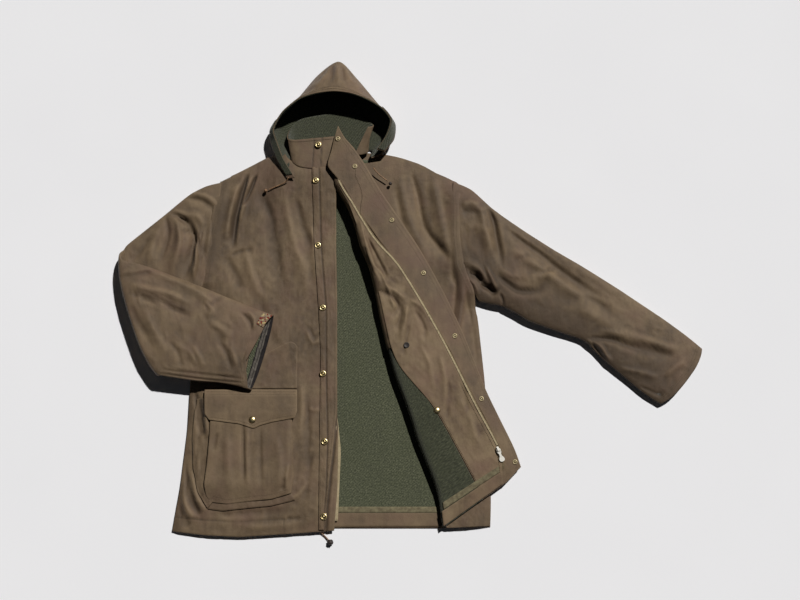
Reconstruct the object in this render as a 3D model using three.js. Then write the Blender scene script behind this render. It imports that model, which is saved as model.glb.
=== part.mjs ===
// Hooded waxed cotton field coat laid open on its back.
// Millimetres, +Z up. X runs across the coat, Y from hem to hood. The back lies flat on z = 0,
// the wearer's right front is closed over it and the left front is folded back on itself.
import * as THREE from "three";

// ---- driving sizes ----
const SHELL = 2.0;          // waxed cotton and its interlining
const LINING = 1.4;         // wool lining
const HOOD_CLOTH = 1.6;
const TAPE = 1.0;           // zip tape and bindings
const SEAM = 0.4;           // space left between sewn pieces
const BACK_TOP = SHELL;
const LINING_BASE = BACK_TOP + 0.5;
const LINING_TOP = LINING_BASE + LINING;
const HEM_FACE_TOP = LINING_TOP + SEAM + TAPE;
const SNAP_R = 7.2;
const SNAP_H = 2.2;
const CORD_R = 1.3;

const group = new THREE.Group();
group.name = "waxed_cotton_jacket";

// ---- helpers: tables, patches, walls ----
const plan = (...pairs) => pairs.map(([x, y]) => ({ x, y }));
const rows = (names, ...lines) => lines.map(
  (line) => Object.fromEntries(names.split(" ").map((name, i) => [name, line[i]])));
const lerp = (a, b, t) => a + (b - a) * t;
const clamp = (x, a, b) => Math.min(b, Math.max(a, x));
const ease = (t) => { const c = clamp(t, 0, 1); return c * c * (3 - 2 * c); };
const bump = (d, r) => Math.exp(-(d * d) / (r * r));

// Smooth value of one column of a table of rows at a fractional row number.
function column(rows, key, v) {
  const n = rows.length - 1;
  const f = clamp(v, 0, 1) * n;
  const i = Math.min(n - 1, Math.floor(f));
  const t = f - i;
  const p0 = rows[Math.max(0, i - 1)][key];
  const p1 = rows[i][key];
  const p2 = rows[i + 1][key];
  const p3 = rows[Math.min(n, i + 2)][key];
  const m1 = (p2 - p0) * 0.5 * 0.8;
  const m2 = (p3 - p1) * 0.5 * 0.8;
  const t2 = t * t;
  const t3 = t2 * t;
  return (2 * t3 - 3 * t2 + 1) * p1 + (t3 - 2 * t2 + t) * m1 + (3 * t2 - 2 * t3) * p2 + (t3 - t2) * m2;
}

// Straight-line look-up of a value against a rising or falling key.
function lookup(rows, key, value, at) {
  const up = rows[rows.length - 1][key] > rows[0][key];
  const list = up ? rows : rows.slice().reverse();
  if (at <= list[0][key]) return list[0][value];
  for (let i = 1; i < list.length; i += 1) {
    if (at <= list[i][key]) {
      const t = (at - list[i - 1][key]) / (list[i][key] - list[i - 1][key]);
      return lerp(list[i - 1][value], list[i][value], t);
    }
  }
  return list[list.length - 1][value];
}

// Point at a share of the length of an edge given as rows of x and y.
function along(edge, t) {
  const steps = [0];
  for (let i = 1; i < edge.length; i += 1) {
    steps.push(steps[i - 1] + Math.hypot(edge[i].x - edge[i - 1].x, edge[i].y - edge[i - 1].y));
  }
  const want = clamp(t, 0, 1) * steps[steps.length - 1];
  let i = 1;
  while (i < edge.length - 1 && steps[i] < want) i += 1;
  const f = (want - steps[i - 1]) / (steps[i] - steps[i - 1]);
  return { x: lerp(edge[i - 1].x, edge[i].x, f), y: lerp(edge[i - 1].y, edge[i].y, f) };
}

// Flat panel outline filled between four edges: left and right run from hem to top,
// bottom and top run from left to right.
function patch(edges, u, v) {
  const l = along(edges.left, v);
  const r = along(edges.right, v);
  const b = along(edges.bottom, u);
  const t = along(edges.top, u);
  const c00 = edges.left[0];
  const c01 = edges.left[edges.left.length - 1];
  const c10 = edges.right[0];
  const c11 = edges.right[edges.right.length - 1];
  const mix = (k) => lerp(l[k], r[k], u) + lerp(b[k], t[k], v)
    - ((1 - u) * (1 - v) * c00[k] + u * (1 - v) * c10[k] + (1 - u) * v * c01[k] + u * v * c11[k]);
  return { x: mix("x"), y: mix("y") };
}

function addMesh(name, points, faces, colour, roughness, metalness) {
  let volume = 0;
  for (const [a, b, c] of faces) {
    const p = points[a];
    const q = points[b];
    const r = points[c];
    volume += p[0] * (q[1] * r[2] - q[2] * r[1]) - p[1] * (q[0] * r[2] - q[2] * r[0])
      + p[2] * (q[0] * r[1] - q[1] * r[0]);
  }
  const index = [];
  for (const [a, b, c] of faces) {
    if (volume >= 0) index.push(a, b, c);
    else index.push(a, c, b);
  }
  const geometry = new THREE.BufferGeometry();
  geometry.setAttribute("position", new THREE.Float32BufferAttribute(points.flat(), 3));
  geometry.setIndex(index);
  geometry.computeVertexNormals();
  const look = new THREE.MeshStandardMaterial({ color: colour, roughness, metalness });
  const mesh = new THREE.Mesh(geometry, look);
  mesh.name = name;
  group.add(mesh);
  return mesh;
}

// Closed wall between two grids of points; closed = true joins the last column to the first.
function wall(name, over, under, look, closed = false) {
  const rows = over.length;
  const cols = over[0].length;
  const points = [...over.flat(), ...under.flat()];
  const half = rows * cols;
  const faces = [];
  const last = closed ? cols : cols - 1;
  for (let i = 0; i < rows - 1; i += 1) {
    for (let j = 0; j < last; j += 1) {
      const a = i * cols + j;
      const b = i * cols + ((j + 1) % cols);
      const c = a + cols;
      const d = b + cols;
      faces.push([a, b, d], [a, d, c]);
      faces.push([half + a, half + d, half + b], [half + a, half + c, half + d]);
    }
  }
  for (let j = 0; j < last; j += 1) {
    const n = (j + 1) % cols;
    const e = (rows - 1) * cols;
    faces.push([n, j, half + j], [n, half + j, half + n]);
    faces.push([e + j, e + n, half + e + n], [e + j, half + e + n, half + e + j]);
  }
  if (!closed) {
    for (let i = 0; i < rows - 1; i += 1) {
      const a = i * cols;
      const c = a + cols;
      const b = a + cols - 1;
      const d = b + cols;
      faces.push([a, c, half + c], [a, half + c, half + a]);
      faces.push([d, b, half + b], [d, half + b, half + d]);
    }
  }
  return addMesh(name, points, faces, look.colour, look.roughness, look.metalness ?? 0);
}

// Wall of even thickness either side of a grid of middle points, along the surface normal.
function sheet(name, mid, thick, look, shift = 0) {
  const rows = mid.length;
  const cols = mid[0].length;
  const at = (i, j) => new THREE.Vector3(...mid[clamp(i, 0, rows - 1)][clamp(j, 0, cols - 1)]);
  const over = [];
  const under = [];
  for (let i = 0; i < rows; i += 1) {
    over.push([]);
    under.push([]);
    for (let j = 0; j < cols; j += 1) {
      const du = at(i, j + 1).sub(at(i, j - 1));
      const dv = at(i + 1, j).sub(at(i - 1, j));
      const n = du.cross(dv).normalize();
      const p = at(i, j);
      over[i].push(p.clone().addScaledVector(n, shift + thick / 2).toArray());
      under[i].push(p.clone().addScaledVector(n, shift - thick / 2).toArray());
    }
  }
  return wall(name, over, under, look);
}

// Panel lying on the ground plan: its top follows a height function, its wall is upright.
function panel(name, edges, nu, nv, top, thick, look) {
  const over = [];
  const under = [];
  for (let i = 0; i <= nv; i += 1) {
    over.push([]);
    under.push([]);
    for (let j = 0; j <= nu; j += 1) {
      const p = patch(edges, j / nu, i / nv);
      const z = top(p.x, p.y);
      over[i].push([p.x, p.y, z]);
      under[i].push([p.x, p.y, z - thick]);
    }
  }
  return wall(name, over, under, look);
}

const WAX = { colour: 0x6b5b45, roughness: 0.72 };
const WAX_DARK = { colour: 0x54452f, roughness: 0.75 };
const WOOL = { colour: 0x4d5038, roughness: 0.95 };
const CREAM = { colour: 0xb9a57c, roughness: 0.7 };
const BRASS = { colour: 0xbfae7c, roughness: 0.35, metalness: 1 };
const STEEL = { colour: 0xd9d8d2, roughness: 0.3, metalness: 1 };
const HIDE = { colour: 0x6b4a2e, roughness: 0.7 };

// ---- body: outline of the back, wearer's right side at low x ----
const SIDE_RIGHT = plan([-492, -484], [-480, -395], [-469, -280], [-466, -163], [-453, -26],
  [-438, 24], [-422, 120], [-411, 176], [-408, 264]);
const SIDE_LEFT = plan([165, -482], [167, -429], [165, -322], [157, -174], [143, -30], [117, 30],
  [98, 74], [92, 138], [91, 264]);
const SHOULDERS = plan([-408, 264], [-373, 285], [-314, 318], [-275, 332], [-165, 332],
  [-66, 328], [-22, 319], [24, 303], [66, 278], [91, 264]);
const BACK_EDGES = {
  left: SIDE_RIGHT,
  right: SIDE_LEFT,
  bottom: plan([-492, -484], [-153, -484], [72, -484], [165, -482]),
  top: SHOULDERS,
};
panel("back_shell", BACK_EDGES, 8, 10, () => BACK_TOP, SHELL, WAX);

// Inner layers keep a margin inside the seams of the back.
const inset = (edge, dx, dy) => edge.map((p) => ({ x: p.x + dx, y: p.y + dy }));
const LINING_EDGES = {
  left: plan([-474, -446], [-450, -163], [-420, 24], [-396, 176], [-394, 250]),
  right: plan([149, -446], [149, -322], [140, -174], [124, -30], [82, 74], [76, 138], [76, 250]),
  bottom: plan([-474, -446], [149, -446]),
  top: plan([-394, 250], [-275, 316], [-66, 312], [76, 250]),
};
panel("back_lining", LINING_EDGES, 4, 7, () => LINING_TOP, LINING, WOOL);
panel("back_hem_facing", {
  left: plan([-474, -483], [-470, -452]),
  right: plan([149, -481], [149, -452]),
  bottom: plan([-474, -483], [149, -481]),
  top: plan([-470, -452], [149, -452]),
}, 4, 1, () => LINING_TOP, LINING, WAX);
panel("back_hem_binding", {
  left: plan([-470, -453], [-470, -441]),
  right: plan([148, -453], [148, -441]),
  bottom: plan([-470, -453], [148, -453]),
  top: plan([-470, -441], [148, -441]),
}, 4, 1, () => HEM_FACE_TOP, TAPE, { colour: 0x857a5c, roughness: 0.8 });

// ---- wearer's right front ----
// Height of its top face at the outer edge, by y: open armhole above, closed side seam below.
const RIGHT_EDGE_HEIGHT = rows("y z", [-500, 4.8], [-60, 4.8], [-26, 6], [24, 13], [120, 20],
  [176, 20], [230, 14], [264, 6]);
const rightSideX = (y) => lookup(SIDE_RIGHT, "y", "x", y);
const shoulderY = (x) => lookup(SHOULDERS, "x", "y", x);

// Soft folds of a front: a ridge along a straight line, fading at its ends.
function crease(x, y, f) {
  const dx = f.x1 - f.x0;
  const dy = f.y1 - f.y0;
  const len = Math.hypot(dx, dy);
  const t = ((x - f.x0) * dx + (y - f.y0) * dy) / (len * len);
  const d = ((x - f.x0) * dy - (y - f.y0) * dx) / len;
  const fade = ease(clamp(t, 0, 1) / 0.25) * ease((1 - clamp(t, 0, 1)) / 0.25);
  return f.h * fade * bump(d, f.w);
}
const RIGHT_FOLDS = rows("x0 y0 x1 y1 h w",
  [-362, 292, -392, 130, -5, 16],
  [-340, 300, -378, 90, 4, 15],
  [-262, 238, -236, 120, -3, 14],
  [-452, -190, -444, -380, 5, 14],
  [-330, 20, -240, -200, 4, 40],
);
function rightTop(x, y) {
  const d = x - rightSideX(y);
  const rise = 1 - (1 - clamp(d / 70, 0, 1)) ** 2;
  const edge = lookup(RIGHT_EDGE_HEIGHT, "y", "z", y);
  const toNeck = ease((y - 150) / 130) * ease((x + 330) / 70);
  let z = lerp(edge, 15 + 11 * toNeck, rise);
  z += 3 * ease((y + 40) / 120) * rise;
  const s = clamp((shoulderY(x) - y) / 60, 0, 1);
  z = lerp(5, z, 1 - (1 - s) ** 2);
  const hem = clamp((y + 505) / 90, 0, 1);
  z = lerp(Math.min(z, 8.8), z, 1 - (1 - hem) ** 2);
  for (const f of RIGHT_FOLDS) z += crease(x, y, f);
  return Math.max(z, d < 16 ? 4.8 : 8.4);
}
const PLACKET_EDGE = plan([-159, -490], [-153, -407], [-152, -324], [-155, -218], [-157, -3],
  [-160, 108], [-161, 219], [-161, 290]);
panel("front_right_shell", {
  left: [{ x: -494, y: -491 }, ...SIDE_RIGHT.slice(1, 8), { x: -406, y: 262 }],
  right: PLACKET_EDGE,
  bottom: plan([-494, -491], [-428, -499], [-355, -503], [-260, -497], [-159, -490]),
  top: plan([-406, 262], [-373, 282], [-314, 315], [-276, 329], [-268, 312], [-250, 298],
    [-205, 290], [-161, 290]),
}, 14, 16, rightTop, SHELL, WAX);

// Doubled snap placket lying on the front edge.
const plackTop = (x, y) => rightTop(x, y) + 0.8 + 1.6;
panel("front_right_placket", {
  left: plan([-206, -489], [-208, -324], [-214, -112], [-216, 107], [-218, 289]),
  right: inset(PLACKET_EDGE, -1, 0.5),
  bottom: plan([-206, -489], [-160, -489.5]),
  top: plan([-218, 289], [-162, 290.5]),
}, 2, 16, plackTop, 1.6, WAX);
panel("zip_tape_right", {
  left: plan([-158, -470], [-155, -324], [-158, -100], [-160, 150], [-162, 280]),
  right: plan([-147, -470], [-145, -324], [-148, -100], [-153, 150], [-155, 280]),
  bottom: plan([-158, -470], [-147, -470]),
  top: plan([-162, 280], [-155, 280]),
}, 1, 16, (x, y) => rightTop(-158, y) - SHELL - 0.9 - 2 * ease((y - 140) / 80), TAPE, CREAM);

// ---- cargo pocket on the right front ----
const BAG_LEFT = plan([-415, -432], [-424, -420], [-428, -396], [-423, -348], [-420, -302],
  [-418, -216]);
const BAG_RIGHT = plan([-248, -414], [-243, -385], [-246, -300], [-250, -216]);
const bagTop = (x, y) => rightTop(x, y) + 1.2 + 1.8 + 8 * ease((y + 450) / 60) * ease((-236 - x) / 20);
panel("cargo_pocket_bag", {
  left: BAG_LEFT,
  right: BAG_RIGHT,
  bottom: plan([-415, -432], [-380, -436], [-332, -430], [-289, -426], [-248, -414]),
  top: plan([-418, -216], [-250, -216]),
}, 8, 8, bagTop, 1.8, WAX);
panel("cargo_pocket_gusset", {
  left: plan([-421, -444], [-442, -411], [-454, -359], [-458, -300], [-452, -216]),
  right: inset(BAG_LEFT, -1.2, 0),
  bottom: plan([-421, -444], [-416.2, -432]),
  top: plan([-452, -216], [-419.2, -216]),
}, 2, 8, (x, y) => rightTop(x, y) + 2.2 + 1.6 + 1.5 * ease((x + 452) / 30), 1.6, WAX);
panel("cargo_pocket_gusset_bottom", {
  left: plan([-420, -446], [-414, -434]),
  right: plan([-240, -428], [-247, -416]),
  bottom: plan([-420, -446], [-391, -450], [-333, -444], [-290, -440], [-240, -428]),
  top: plan([-414, -434], [-380, -438], [-332, -432], [-289, -428], [-247, -416]),
}, 8, 1, (x, y) => rightTop(x, y) + 0.9 + 1.6, 1.6, WAX);
const flapTopZ = (x, y) => bagTop(clamp(x, -416, -250), y) + 1.0 + 2.2;
panel("cargo_pocket_flap", {
  left: plan([-422, -262], [-431, -250], [-433, -198]),
  right: plan([-243, -258], [-238, -245], [-239, -198]),
  bottom: plan([-422, -262], [-359, -270], [-340, -276], [-328, -279], [-314, -273],
    [-288, -266], [-243, -258]),
  top: plan([-433, -198], [-239, -198]),
}, 10, 3, flapTopZ, 1.8, WAX);

// Slanted welt of the hand-warmer pocket, partly under the cargo flap.
panel("handwarmer_welt", {
  left: plan([-291, -194], [-290, -112]),
  right: plan([-240, -194], [-240, -100]),
  bottom: plan([-291, -194], [-240, -194]),
  top: plan([-290, -112], [-256, -94], [-240, -100]),
}, 3, 4, (x, y) => rightTop(x, y) + 0.9 + 1.4, 1.4, WAX);

// ---- wearer's left front, folded back on itself ----
// One row per section from hem to neck: g side seam or armhole, f fold, i lining seam, z zip, e flap edge;
// low, up, out and rim are the mid-heights of the lower layer, upper layer at the fold, zip and flap edge.
const LEFT_ROWS = rows("gx gy fx fy ix iy zx zy ex ey low up out rim",
  [164, -480, 66, -485, 150, -427, 197, -392, 229, -360, 10.4, 17, 16, 15],
  [165, -420, 54, -410, 118, -366, 190, -327, 213, -315, 10.5, 25, 22, 16],
  [160, -290, 11, -294, 62, -262, 136, -221, 161, -203, 10.6, 29, 26, 18],
  [152, -150, -32, -165, -8, -150, 77, -101, 112, -78, 10.6, 31, 28, 21],
  [139, -20, -57, -60, -44, -53, 26, -8, 70, 13, 10.8, 32, 30, 23],
  [106, 52, -79, 38, -68, 44, -23, 71, 24, 99, 11, 33, 33, 26],
  [93, 125, -101, 112, -90, 117, -68, 131, -15, 160, 11, 34, 35, 29],
  [91, 205, -126, 198, -115, 201, -106, 206, -61, 229, 11, 34, 37, 33],
  [89, 261, -150, 252, -139, 254, -131, 256, -91, 280, 10.8, 33, 38, 37],
  [-20, 315, -140, 297, -130, 298, -122, 299, -120, 318, 10, 26, 36, 40],
);
const LEFT_EDGE_HEIGHT = rows("y z", [-500, 3.8], [-60, 3.8], [-10, 6], [40, 13], [120, 20],
  [190, 20], [240, 12], [264, 5]);
const leftSideX = (y) => lookup(SIDE_LEFT, "y", "x", y);
// Mid-height of the lower layer, pulled down to the side and shoulder seams.
function leftLow(x, y, base) {
  const d = leftSideX(y) - x;
  const rise = 1 - (1 - clamp(d / 60, 0, 1)) ** 2;
  const edge = lookup(LEFT_EDGE_HEIGHT, "y", "z", y);
  const s = clamp((shoulderY(x) - y) / 50, 0, 1);
  const open = lerp(edge, base, rise);
  return lerp(4.2, open, 1 - (1 - s) ** 2);
}
// Section of the folded front at row v: the lower layer from side to fold, the turn, then the upper layer.
// off moves the section outward for the lining, share ends the upper layer between fold and zip.
function foldSection(v, off, startIn, endKey, nLow, nTurn, nUp) {
  const c = (k) => column(LEFT_ROWS, k, v);
  const g = { x: c("gx"), y: c("gy") };
  const f = { x: c("fx"), y: c("fy") };
  const e = { x: c(`${endKey}x`), y: c(`${endKey}y`) };
  const z = { x: c("zx"), y: c("zy") };
  const low = c("low") - off * 1.3;
  const full = Math.max(Math.hypot(z.x - f.x, z.y - f.y), 1);
  const keep = 9 + 2.2;
  const up = lerp(c("up"), c("out"), clamp(keep / full, 0, 1)) + off;
  const radius = (up - low) / 2;
  const reach = Math.min(radius, 9);
  const lowDir = new THREE.Vector2(f.x - g.x, f.y - g.y).normalize();
  const upDir = new THREE.Vector2(z.x - f.x, z.y - f.y).normalize();
  const start = { x: g.x + lowDir.x * startIn, y: g.y + lowDir.y * startIn };
  const turnLow = { x: f.x - lowDir.x * keep, y: f.y - lowDir.y * keep };
  const turnUp = { x: f.x + upDir.x * keep, y: f.y + upDir.y * keep };
  const points = [];
  for (let j = 0; j <= nLow; j += 1) {
    const x = lerp(start.x, turnLow.x, j / nLow);
    const y = lerp(start.y, turnLow.y, j / nLow);
    points.push([x, y, leftLow(x, y, c("low")) - off * 1.3]);
  }
  for (let j = 1; j < nTurn; j += 1) {
    const a = Math.PI * j / nTurn;
    const m = (1 - Math.cos(a)) / 2;
    const x = lerp(turnLow.x, turnUp.x, m) + lowDir.x * (reach + off) * Math.sin(a);
    const y = lerp(turnLow.y, turnUp.y, m) + lowDir.y * (reach + off) * Math.sin(a);
    points.push([x, y, (low + up) / 2 - radius * Math.cos(a)]);
  }
  const far = Math.max(Math.hypot(e.x - f.x, e.y - f.y), keep + 5);
  for (let j = 0; j <= nUp; j += 1) {
    const r = lerp(keep, far, j / nUp);
    const x = f.x + upDir.x * r;
    const y = f.y + upDir.y * r;
    points.push([x, y, lerp(c("up"), c("out"), clamp(r / full, 0, 1)) + off]);
  }
  return points;
}
const foldGrid = (n, off, startIn, endKey, nLow, nTurn, nUp) =>
  Array.from({ length: n + 1 }, (_, i) => foldSection(i / n, off, startIn, endKey, nLow, nTurn, nUp));
sheet("front_left_shell", foldGrid(16, 0, 0, "z", 6, 6, 4), SHELL, WAX);
const LINING_OFF = SHELL / 2 + SEAM + LINING / 2;
sheet("front_left_lining", foldGrid(16, LINING_OFF, 40, "i", 5, 6, 3), LINING, WOOL);

// Point of the upper layer: v along the fold, s from fold to zip (0 to 1) and on to the flap edge (2).
function upperPoint(v, s, off) {
  const c = (k) => column(LEFT_ROWS, k, v);
  const a = s <= 1 ? ["f", "z"] : ["z", "e"];
  const t = s <= 1 ? s : s - 1;
  const from = { f: c("up"), z: c("out") }[a[0]];
  const to = { z: c("out"), e: c("rim") }[a[1]];
  const x = lerp(c(`${a[0]}x`), c(`${a[1]}x`), t);
  const y = lerp(c(`${a[0]}y`), c(`${a[1]}y`), t);
  return [x, y, lerp(from, to, t) + off];
}
// Strip of the upper layer between two lines s0(v) and s1(v), lifted by off.
function upperStrip(name, v0, v1, n, s0, s1, m, off, thick, look) {
  const mid = [];
  for (let i = 0; i <= n; i += 1) {
    const v = lerp(v0, v1, i / n);
    mid.push([]);
    for (let j = 0; j <= m; j += 1) mid[i].push(upperPoint(v, lerp(s0(v), s1(v), j / m), off));
  }
  return sheet(name, mid, thick, look);
}
const rowLength = (v, a, b) => Math.hypot(column(LEFT_ROWS, `${a}x`, v) - column(LEFT_ROWS, `${b}x`, v),
  column(LEFT_ROWS, `${a}y`, v) - column(LEFT_ROWS, `${b}y`, v));
const liningShare = (v) => {
  const full = Math.max(rowLength(v, "f", "z"), 1);
  return Math.max(rowLength(v, "f", "i"), 16.4) / full;
};
const FACE_OFF = SHELL / 2 + SEAM + LINING / 2;
upperStrip("front_left_facing", 0.012, 0.66, 12, (v) => liningShare(v) + 2.4 / rowLength(v, "f", "z"),
  (v) => 1 - 7 / rowLength(v, "f", "z"), 4, FACE_OFF, LINING, WAX);
const TAPE_OFF = FACE_OFF + LINING / 2 + SEAM + TAPE / 2;
upperStrip("zip_tape_left", 0.06, 0.66, 14, (v) => 1 - 16 / rowLength(v, "f", "z"),
  (v) => 1 - 1 / rowLength(v, "f", "z"), 1, TAPE_OFF, TAPE, CREAM);
upperStrip("zip_teeth_left", 0.131, 0.66, 14, (v) => 1 - 8 / rowLength(v, "f", "z"),
  (v) => 1 - 2.5 / rowLength(v, "f", "z"), 1, TAPE_OFF + TAPE / 2 + 0.4 + 0.8, 1.6, CREAM);
upperStrip("left_hem_band", 0.006, 0.055, 2, () => 0.2, (v) => 1 - 18 / rowLength(v, "f", "z"), 4,
  TAPE_OFF + 0.3, 1.4, WAX);
upperStrip("left_hem_binding", 0.058, 0.075, 1, () => 0.2, (v) => 1 - 22 / rowLength(v, "f", "z"), 4,
  TAPE_OFF + 0.3, TAPE, { colour: 0x857a5c, roughness: 0.8 });

// Storm flap beyond the zip, from hem to the collar corner.
const FLAP_ROWS = rows("ax ay ex ey in out",
  [200, -390, 230, -359, 15, 13],
  [194, -328, 214, -315, 21, 16],
  [140, -219, 161, -203, 26, 19],
  [81, -99, 112, -78, 28, 22],
  [30, -6, 70, 13, 30, 25],
  [-19, 73, 24, 99, 33, 27],
  [-64, 133, -15, 160, 35, 30],
  [-97, 210, -61, 229, 37, 33],
  [-116, 264, -91, 280, 40, 36],
  [-160, 300, -120, 325, 41, 39],
  [-163, 332, -143, 352, 40, 41],
  [-164, 354, -157, 378, 39, 40],
);
function flapPoint(v, s, off) {
  const c = (k) => column(FLAP_ROWS, k, v);
  return [lerp(c("ax"), c("ex"), s), lerp(c("ay"), c("ey"), s), lerp(c("in"), c("out"), s) + off];
}
const flapGrid = [];
for (let i = 0; i <= 20; i += 1) {
  flapGrid.push([]);
  for (let j = 0; j <= 2; j += 1) flapGrid[i].push(flapPoint(i / 20, j / 2, 0));
}
sheet("storm_flap", flapGrid, SHELL, WAX);

// ---- sleeves: flattened tubes, one row per section ----
// p upper seam edge, q lower seam edge, z middle height, h half height, turn the direction in degrees
// (0 outward, 180 folded back at the elbow), bow the bulge of the section along the sleeve.
const SLEEVE_LEFT = rows("px py qx qy z h turn bow",
  [95, 260, 147, -6, 11.5, 10, 0, -18],
  [133, 242, 172, -12, 13, 12, 0, -10],
  [180, 198, 196, -17, 14, 13, 0, 0],
  [242, 152, 225, -32, 14, 13, 0, 0],
  [308, 108, 256, -50, 13, 12, 0, 0],
  [368, 72, 310, -70, 12, 11, 0, 0],
  [442, 24, 370, -92, 11, 10, 0, 0],
  [490, -9, 410, -132, 11, 10, 0, 4],
  [540, -44, 455, -171, 10.5, 9.5, 0, 8],
  [585, -78, 492, -203, 10, 9, 0, 10],
  [620, -108, 527, -226, 9.5, 8.5, 0, 14],
);
const SLEEVE_RIGHT = rows("px py qx qy z h turn bow",
  [-412, 259, -446, 20, 11.5, 10, 0, -6],
  [-445, 250, -456, -20, 12, 11, 0, 0],
  [-481, 230, -474, -62, 12, 11, 0, 0],
  [-530, 188, -494, -104, 11, 10, 0, 4],
  [-580, 146, -512, -138, 10, 9, 0, 8],
  [-610, 120, -524, -158, 10, 9, 0, 12],
  [-618, 108, -528, -166, 12, 9, 30, 12],
  [-622, 98, -530, -169, 26, 9, 90, 12],
  [-618, 84, -528, -170, 40, 9, 150, 12],
  [-608, 76, -522, -171, 42, 9, 180, -12],
  [-567, 66, -496, -175, 41, 10, 180, -8],
  [-500, 42, -454, -181, 39, 11, 180, 0],
  [-440, 19, -410, -184, 37, 12, 180, 0],
  [-380, -6, -378, -189, 36.5, 12, 180, 0],
  [-325, -28, -352, -195, 36, 11.5, 180, 0],
  [-290, -40, -334, -200, 35, 10, 180, -4],
);
// Ring point of a sleeve at section v and angle a, pulled in by skin for the inner face.
function ringPoint(rows, sign, v, a, skin) {
  const c = (k) => column(rows, k, v);
  const px = c("px");
  const py = c("py");
  const qx = c("qx");
  const qy = c("qy");
  const width = Math.hypot(px - qx, py - qy);
  const wx = (px - qx) / width;
  const wy = (py - qy) / width;
  const turn = c("turn") * Math.PI / 180;
  const outX = sign * wy;
  const outY = -sign * wx;
  const square = (t) => Math.sign(t) * Math.abs(t) ** 0.72;
  const w = (width / 2 - skin) * square(Math.cos(a));
  const n = (c("h") - skin) * square(Math.sin(a));
  const b = c("bow") * (1 - Math.cos(a) ** 2);
  const nx = -Math.sin(turn);
  const nz = Math.cos(turn);
  const x = (px + qx) / 2 + wx * w + outX * (n * nx + b);
  const y = (py + qy) / 2 + wy * w + outY * (n * nx + b);
  return [x, y, c("z") + n * nz];
}
function sleeve(name, rows, sign, n, m, skin0, skin1, look, v0 = 0, v1 = 1) {
  const outer = [];
  const inner = [];
  for (let i = 0; i <= n; i += 1) {
    const v = lerp(v0, v1, i / n);
    outer.push([]);
    inner.push([]);
    for (let j = 0; j < m; j += 1) {
      const a = 2 * Math.PI * j / m;
      outer[i].push(ringPoint(rows, sign, v, a, skin0));
      inner[i].push(ringPoint(rows, sign, v, a, skin1));
    }
  }
  return wall(name, outer, inner, look, true);
}
sleeve("sleeve_left_shell", SLEEVE_LEFT, 1, 12, 14, 0, SHELL, WAX);
sleeve("sleeve_right_shell", SLEEVE_RIGHT, -1, 22, 14, 0, SHELL, WAX);
sleeve("cuff_right_lining", SLEEVE_RIGHT, -1, 1, 14, SHELL + SEAM, SHELL + SEAM + 1.2,
  { colour: 0x5a564b, roughness: 0.85 }, 0.93, 1);
sleeve("cuff_left_lining", SLEEVE_LEFT, 1, 1, 14, SHELL + SEAM, SHELL + SEAM + 1.2,
  { colour: 0x5a564b, roughness: 0.85 }, 0.93, 1);

// ---- collar: a stand folded flat, front over back ----
const COLLAR = rows("bx by bz tx ty tz",
  [-163, 293, 29, -166, 358, 31],
  [-205, 293, 29, -214, 353, 32],
  [-236, 299, 28, -246, 350, 31],
  [-251, 308, 24, -264, 355, 27],
  [-254, 320, 16, -267, 370, 19],
  [-246, 329, 10, -258, 388, 12],
  [-225, 334, 8, -237, 405, 10],
  [-165, 336, 8, -168, 417, 10],
  [-110, 334, 8, -110, 411, 10],
  [-90, 329, 11, -92, 392, 14],
  [-85, 320, 18, -87, 376, 22],
  [-92, 312, 26, -98, 366, 30],
);
function collarGrid(n, m) {
  const grid = [];
  for (let i = 0; i <= m; i += 1) {
    grid.push([]);
    for (let j = 0; j <= n; j += 1) {
      const c = (k) => column(COLLAR, k, j / n);
      const t = i / m;
      grid[i].push([lerp(c("bx"), c("tx"), t), lerp(c("by"), c("ty"), t), lerp(c("bz"), c("tz"), t)]);
    }
  }
  return grid;
}
sheet("collar_shell", collarGrid(20, 2), 1.6, WAX, 0);
sheet("collar_lining", collarGrid(20, 2), LINING, WOOL, 1.9);

// ---- hood: rim r raised, silhouette s, neck edge n lying on the ground behind the collar ----
const HOOD = rows("rx ry rz sx sy sz nx ny nz",
  [-250, 263, 37, -266, 262, 32, -262, 280, 30],
  [-274, 303, 38, -290, 306, 30, -280, 316, 24],
  [-288, 338, 42, -304, 345, 26, -282, 342, 15],
  [-297, 368, 46, -306, 374, 22, -278, 354, 6],
  [-275, 403, 55, -290, 404, 12, -262, 346, 1.2],
  [-240, 428, 62, -250, 448, 8, -225, 340, 1],
  [-204, 437, 65, -212, 502, 7, -195, 338, 1],
  [-165, 441, 66, -158, 546, 7, -165, 337, 1],
  [-129, 437, 65, -115, 500, 7, -135, 338, 1],
  [-97, 428, 61, -78, 450, 8, -108, 340, 1],
  [-64, 413, 54, -40, 402, 12, -78, 345, 1.2],
  [-42, 391, 47, -32, 382, 20, -58, 350, 6],
  [-52, 356, 42, -36, 352, 26, -58, 342, 15],
  [-72, 326, 40, -56, 324, 31, -64, 326, 25],
);
function hoodPoint(u, v) {
  const c = (k) => column(HOOD, k, u);
  const r = [c("rx"), c("ry"), c("rz")];
  const s = [c("sx"), c("sy"), c("sz")];
  const n = [c("nx"), c("ny"), c("nz")];
  const drop = r[2] - s[2];
  if (v < 0.5) {
    const t = v / 0.5;
    const b = Math.sin(Math.PI * t) * 0.12 * drop;
    return [lerp(r[0], s[0], t), lerp(r[1], s[1], t), lerp(r[2], s[2], t ** 0.9) + b];
  }
  const t = (v - 0.5) / 0.5;
  const sink = ease(t / 0.35);
  return [lerp(s[0], n[0], t), lerp(s[1], n[1], t), lerp(s[2], n[2], sink)];
}
const HOOD_V = [0, 0.16, 0.32, 0.44, 0.5, 0.56, 0.66, 1];
const hoodGrid = (u0, u1, n) => HOOD_V.map((v) =>
  Array.from({ length: n + 1 }, (_, j) => hoodPoint(lerp(u0, u1, j / n), v)));
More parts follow.
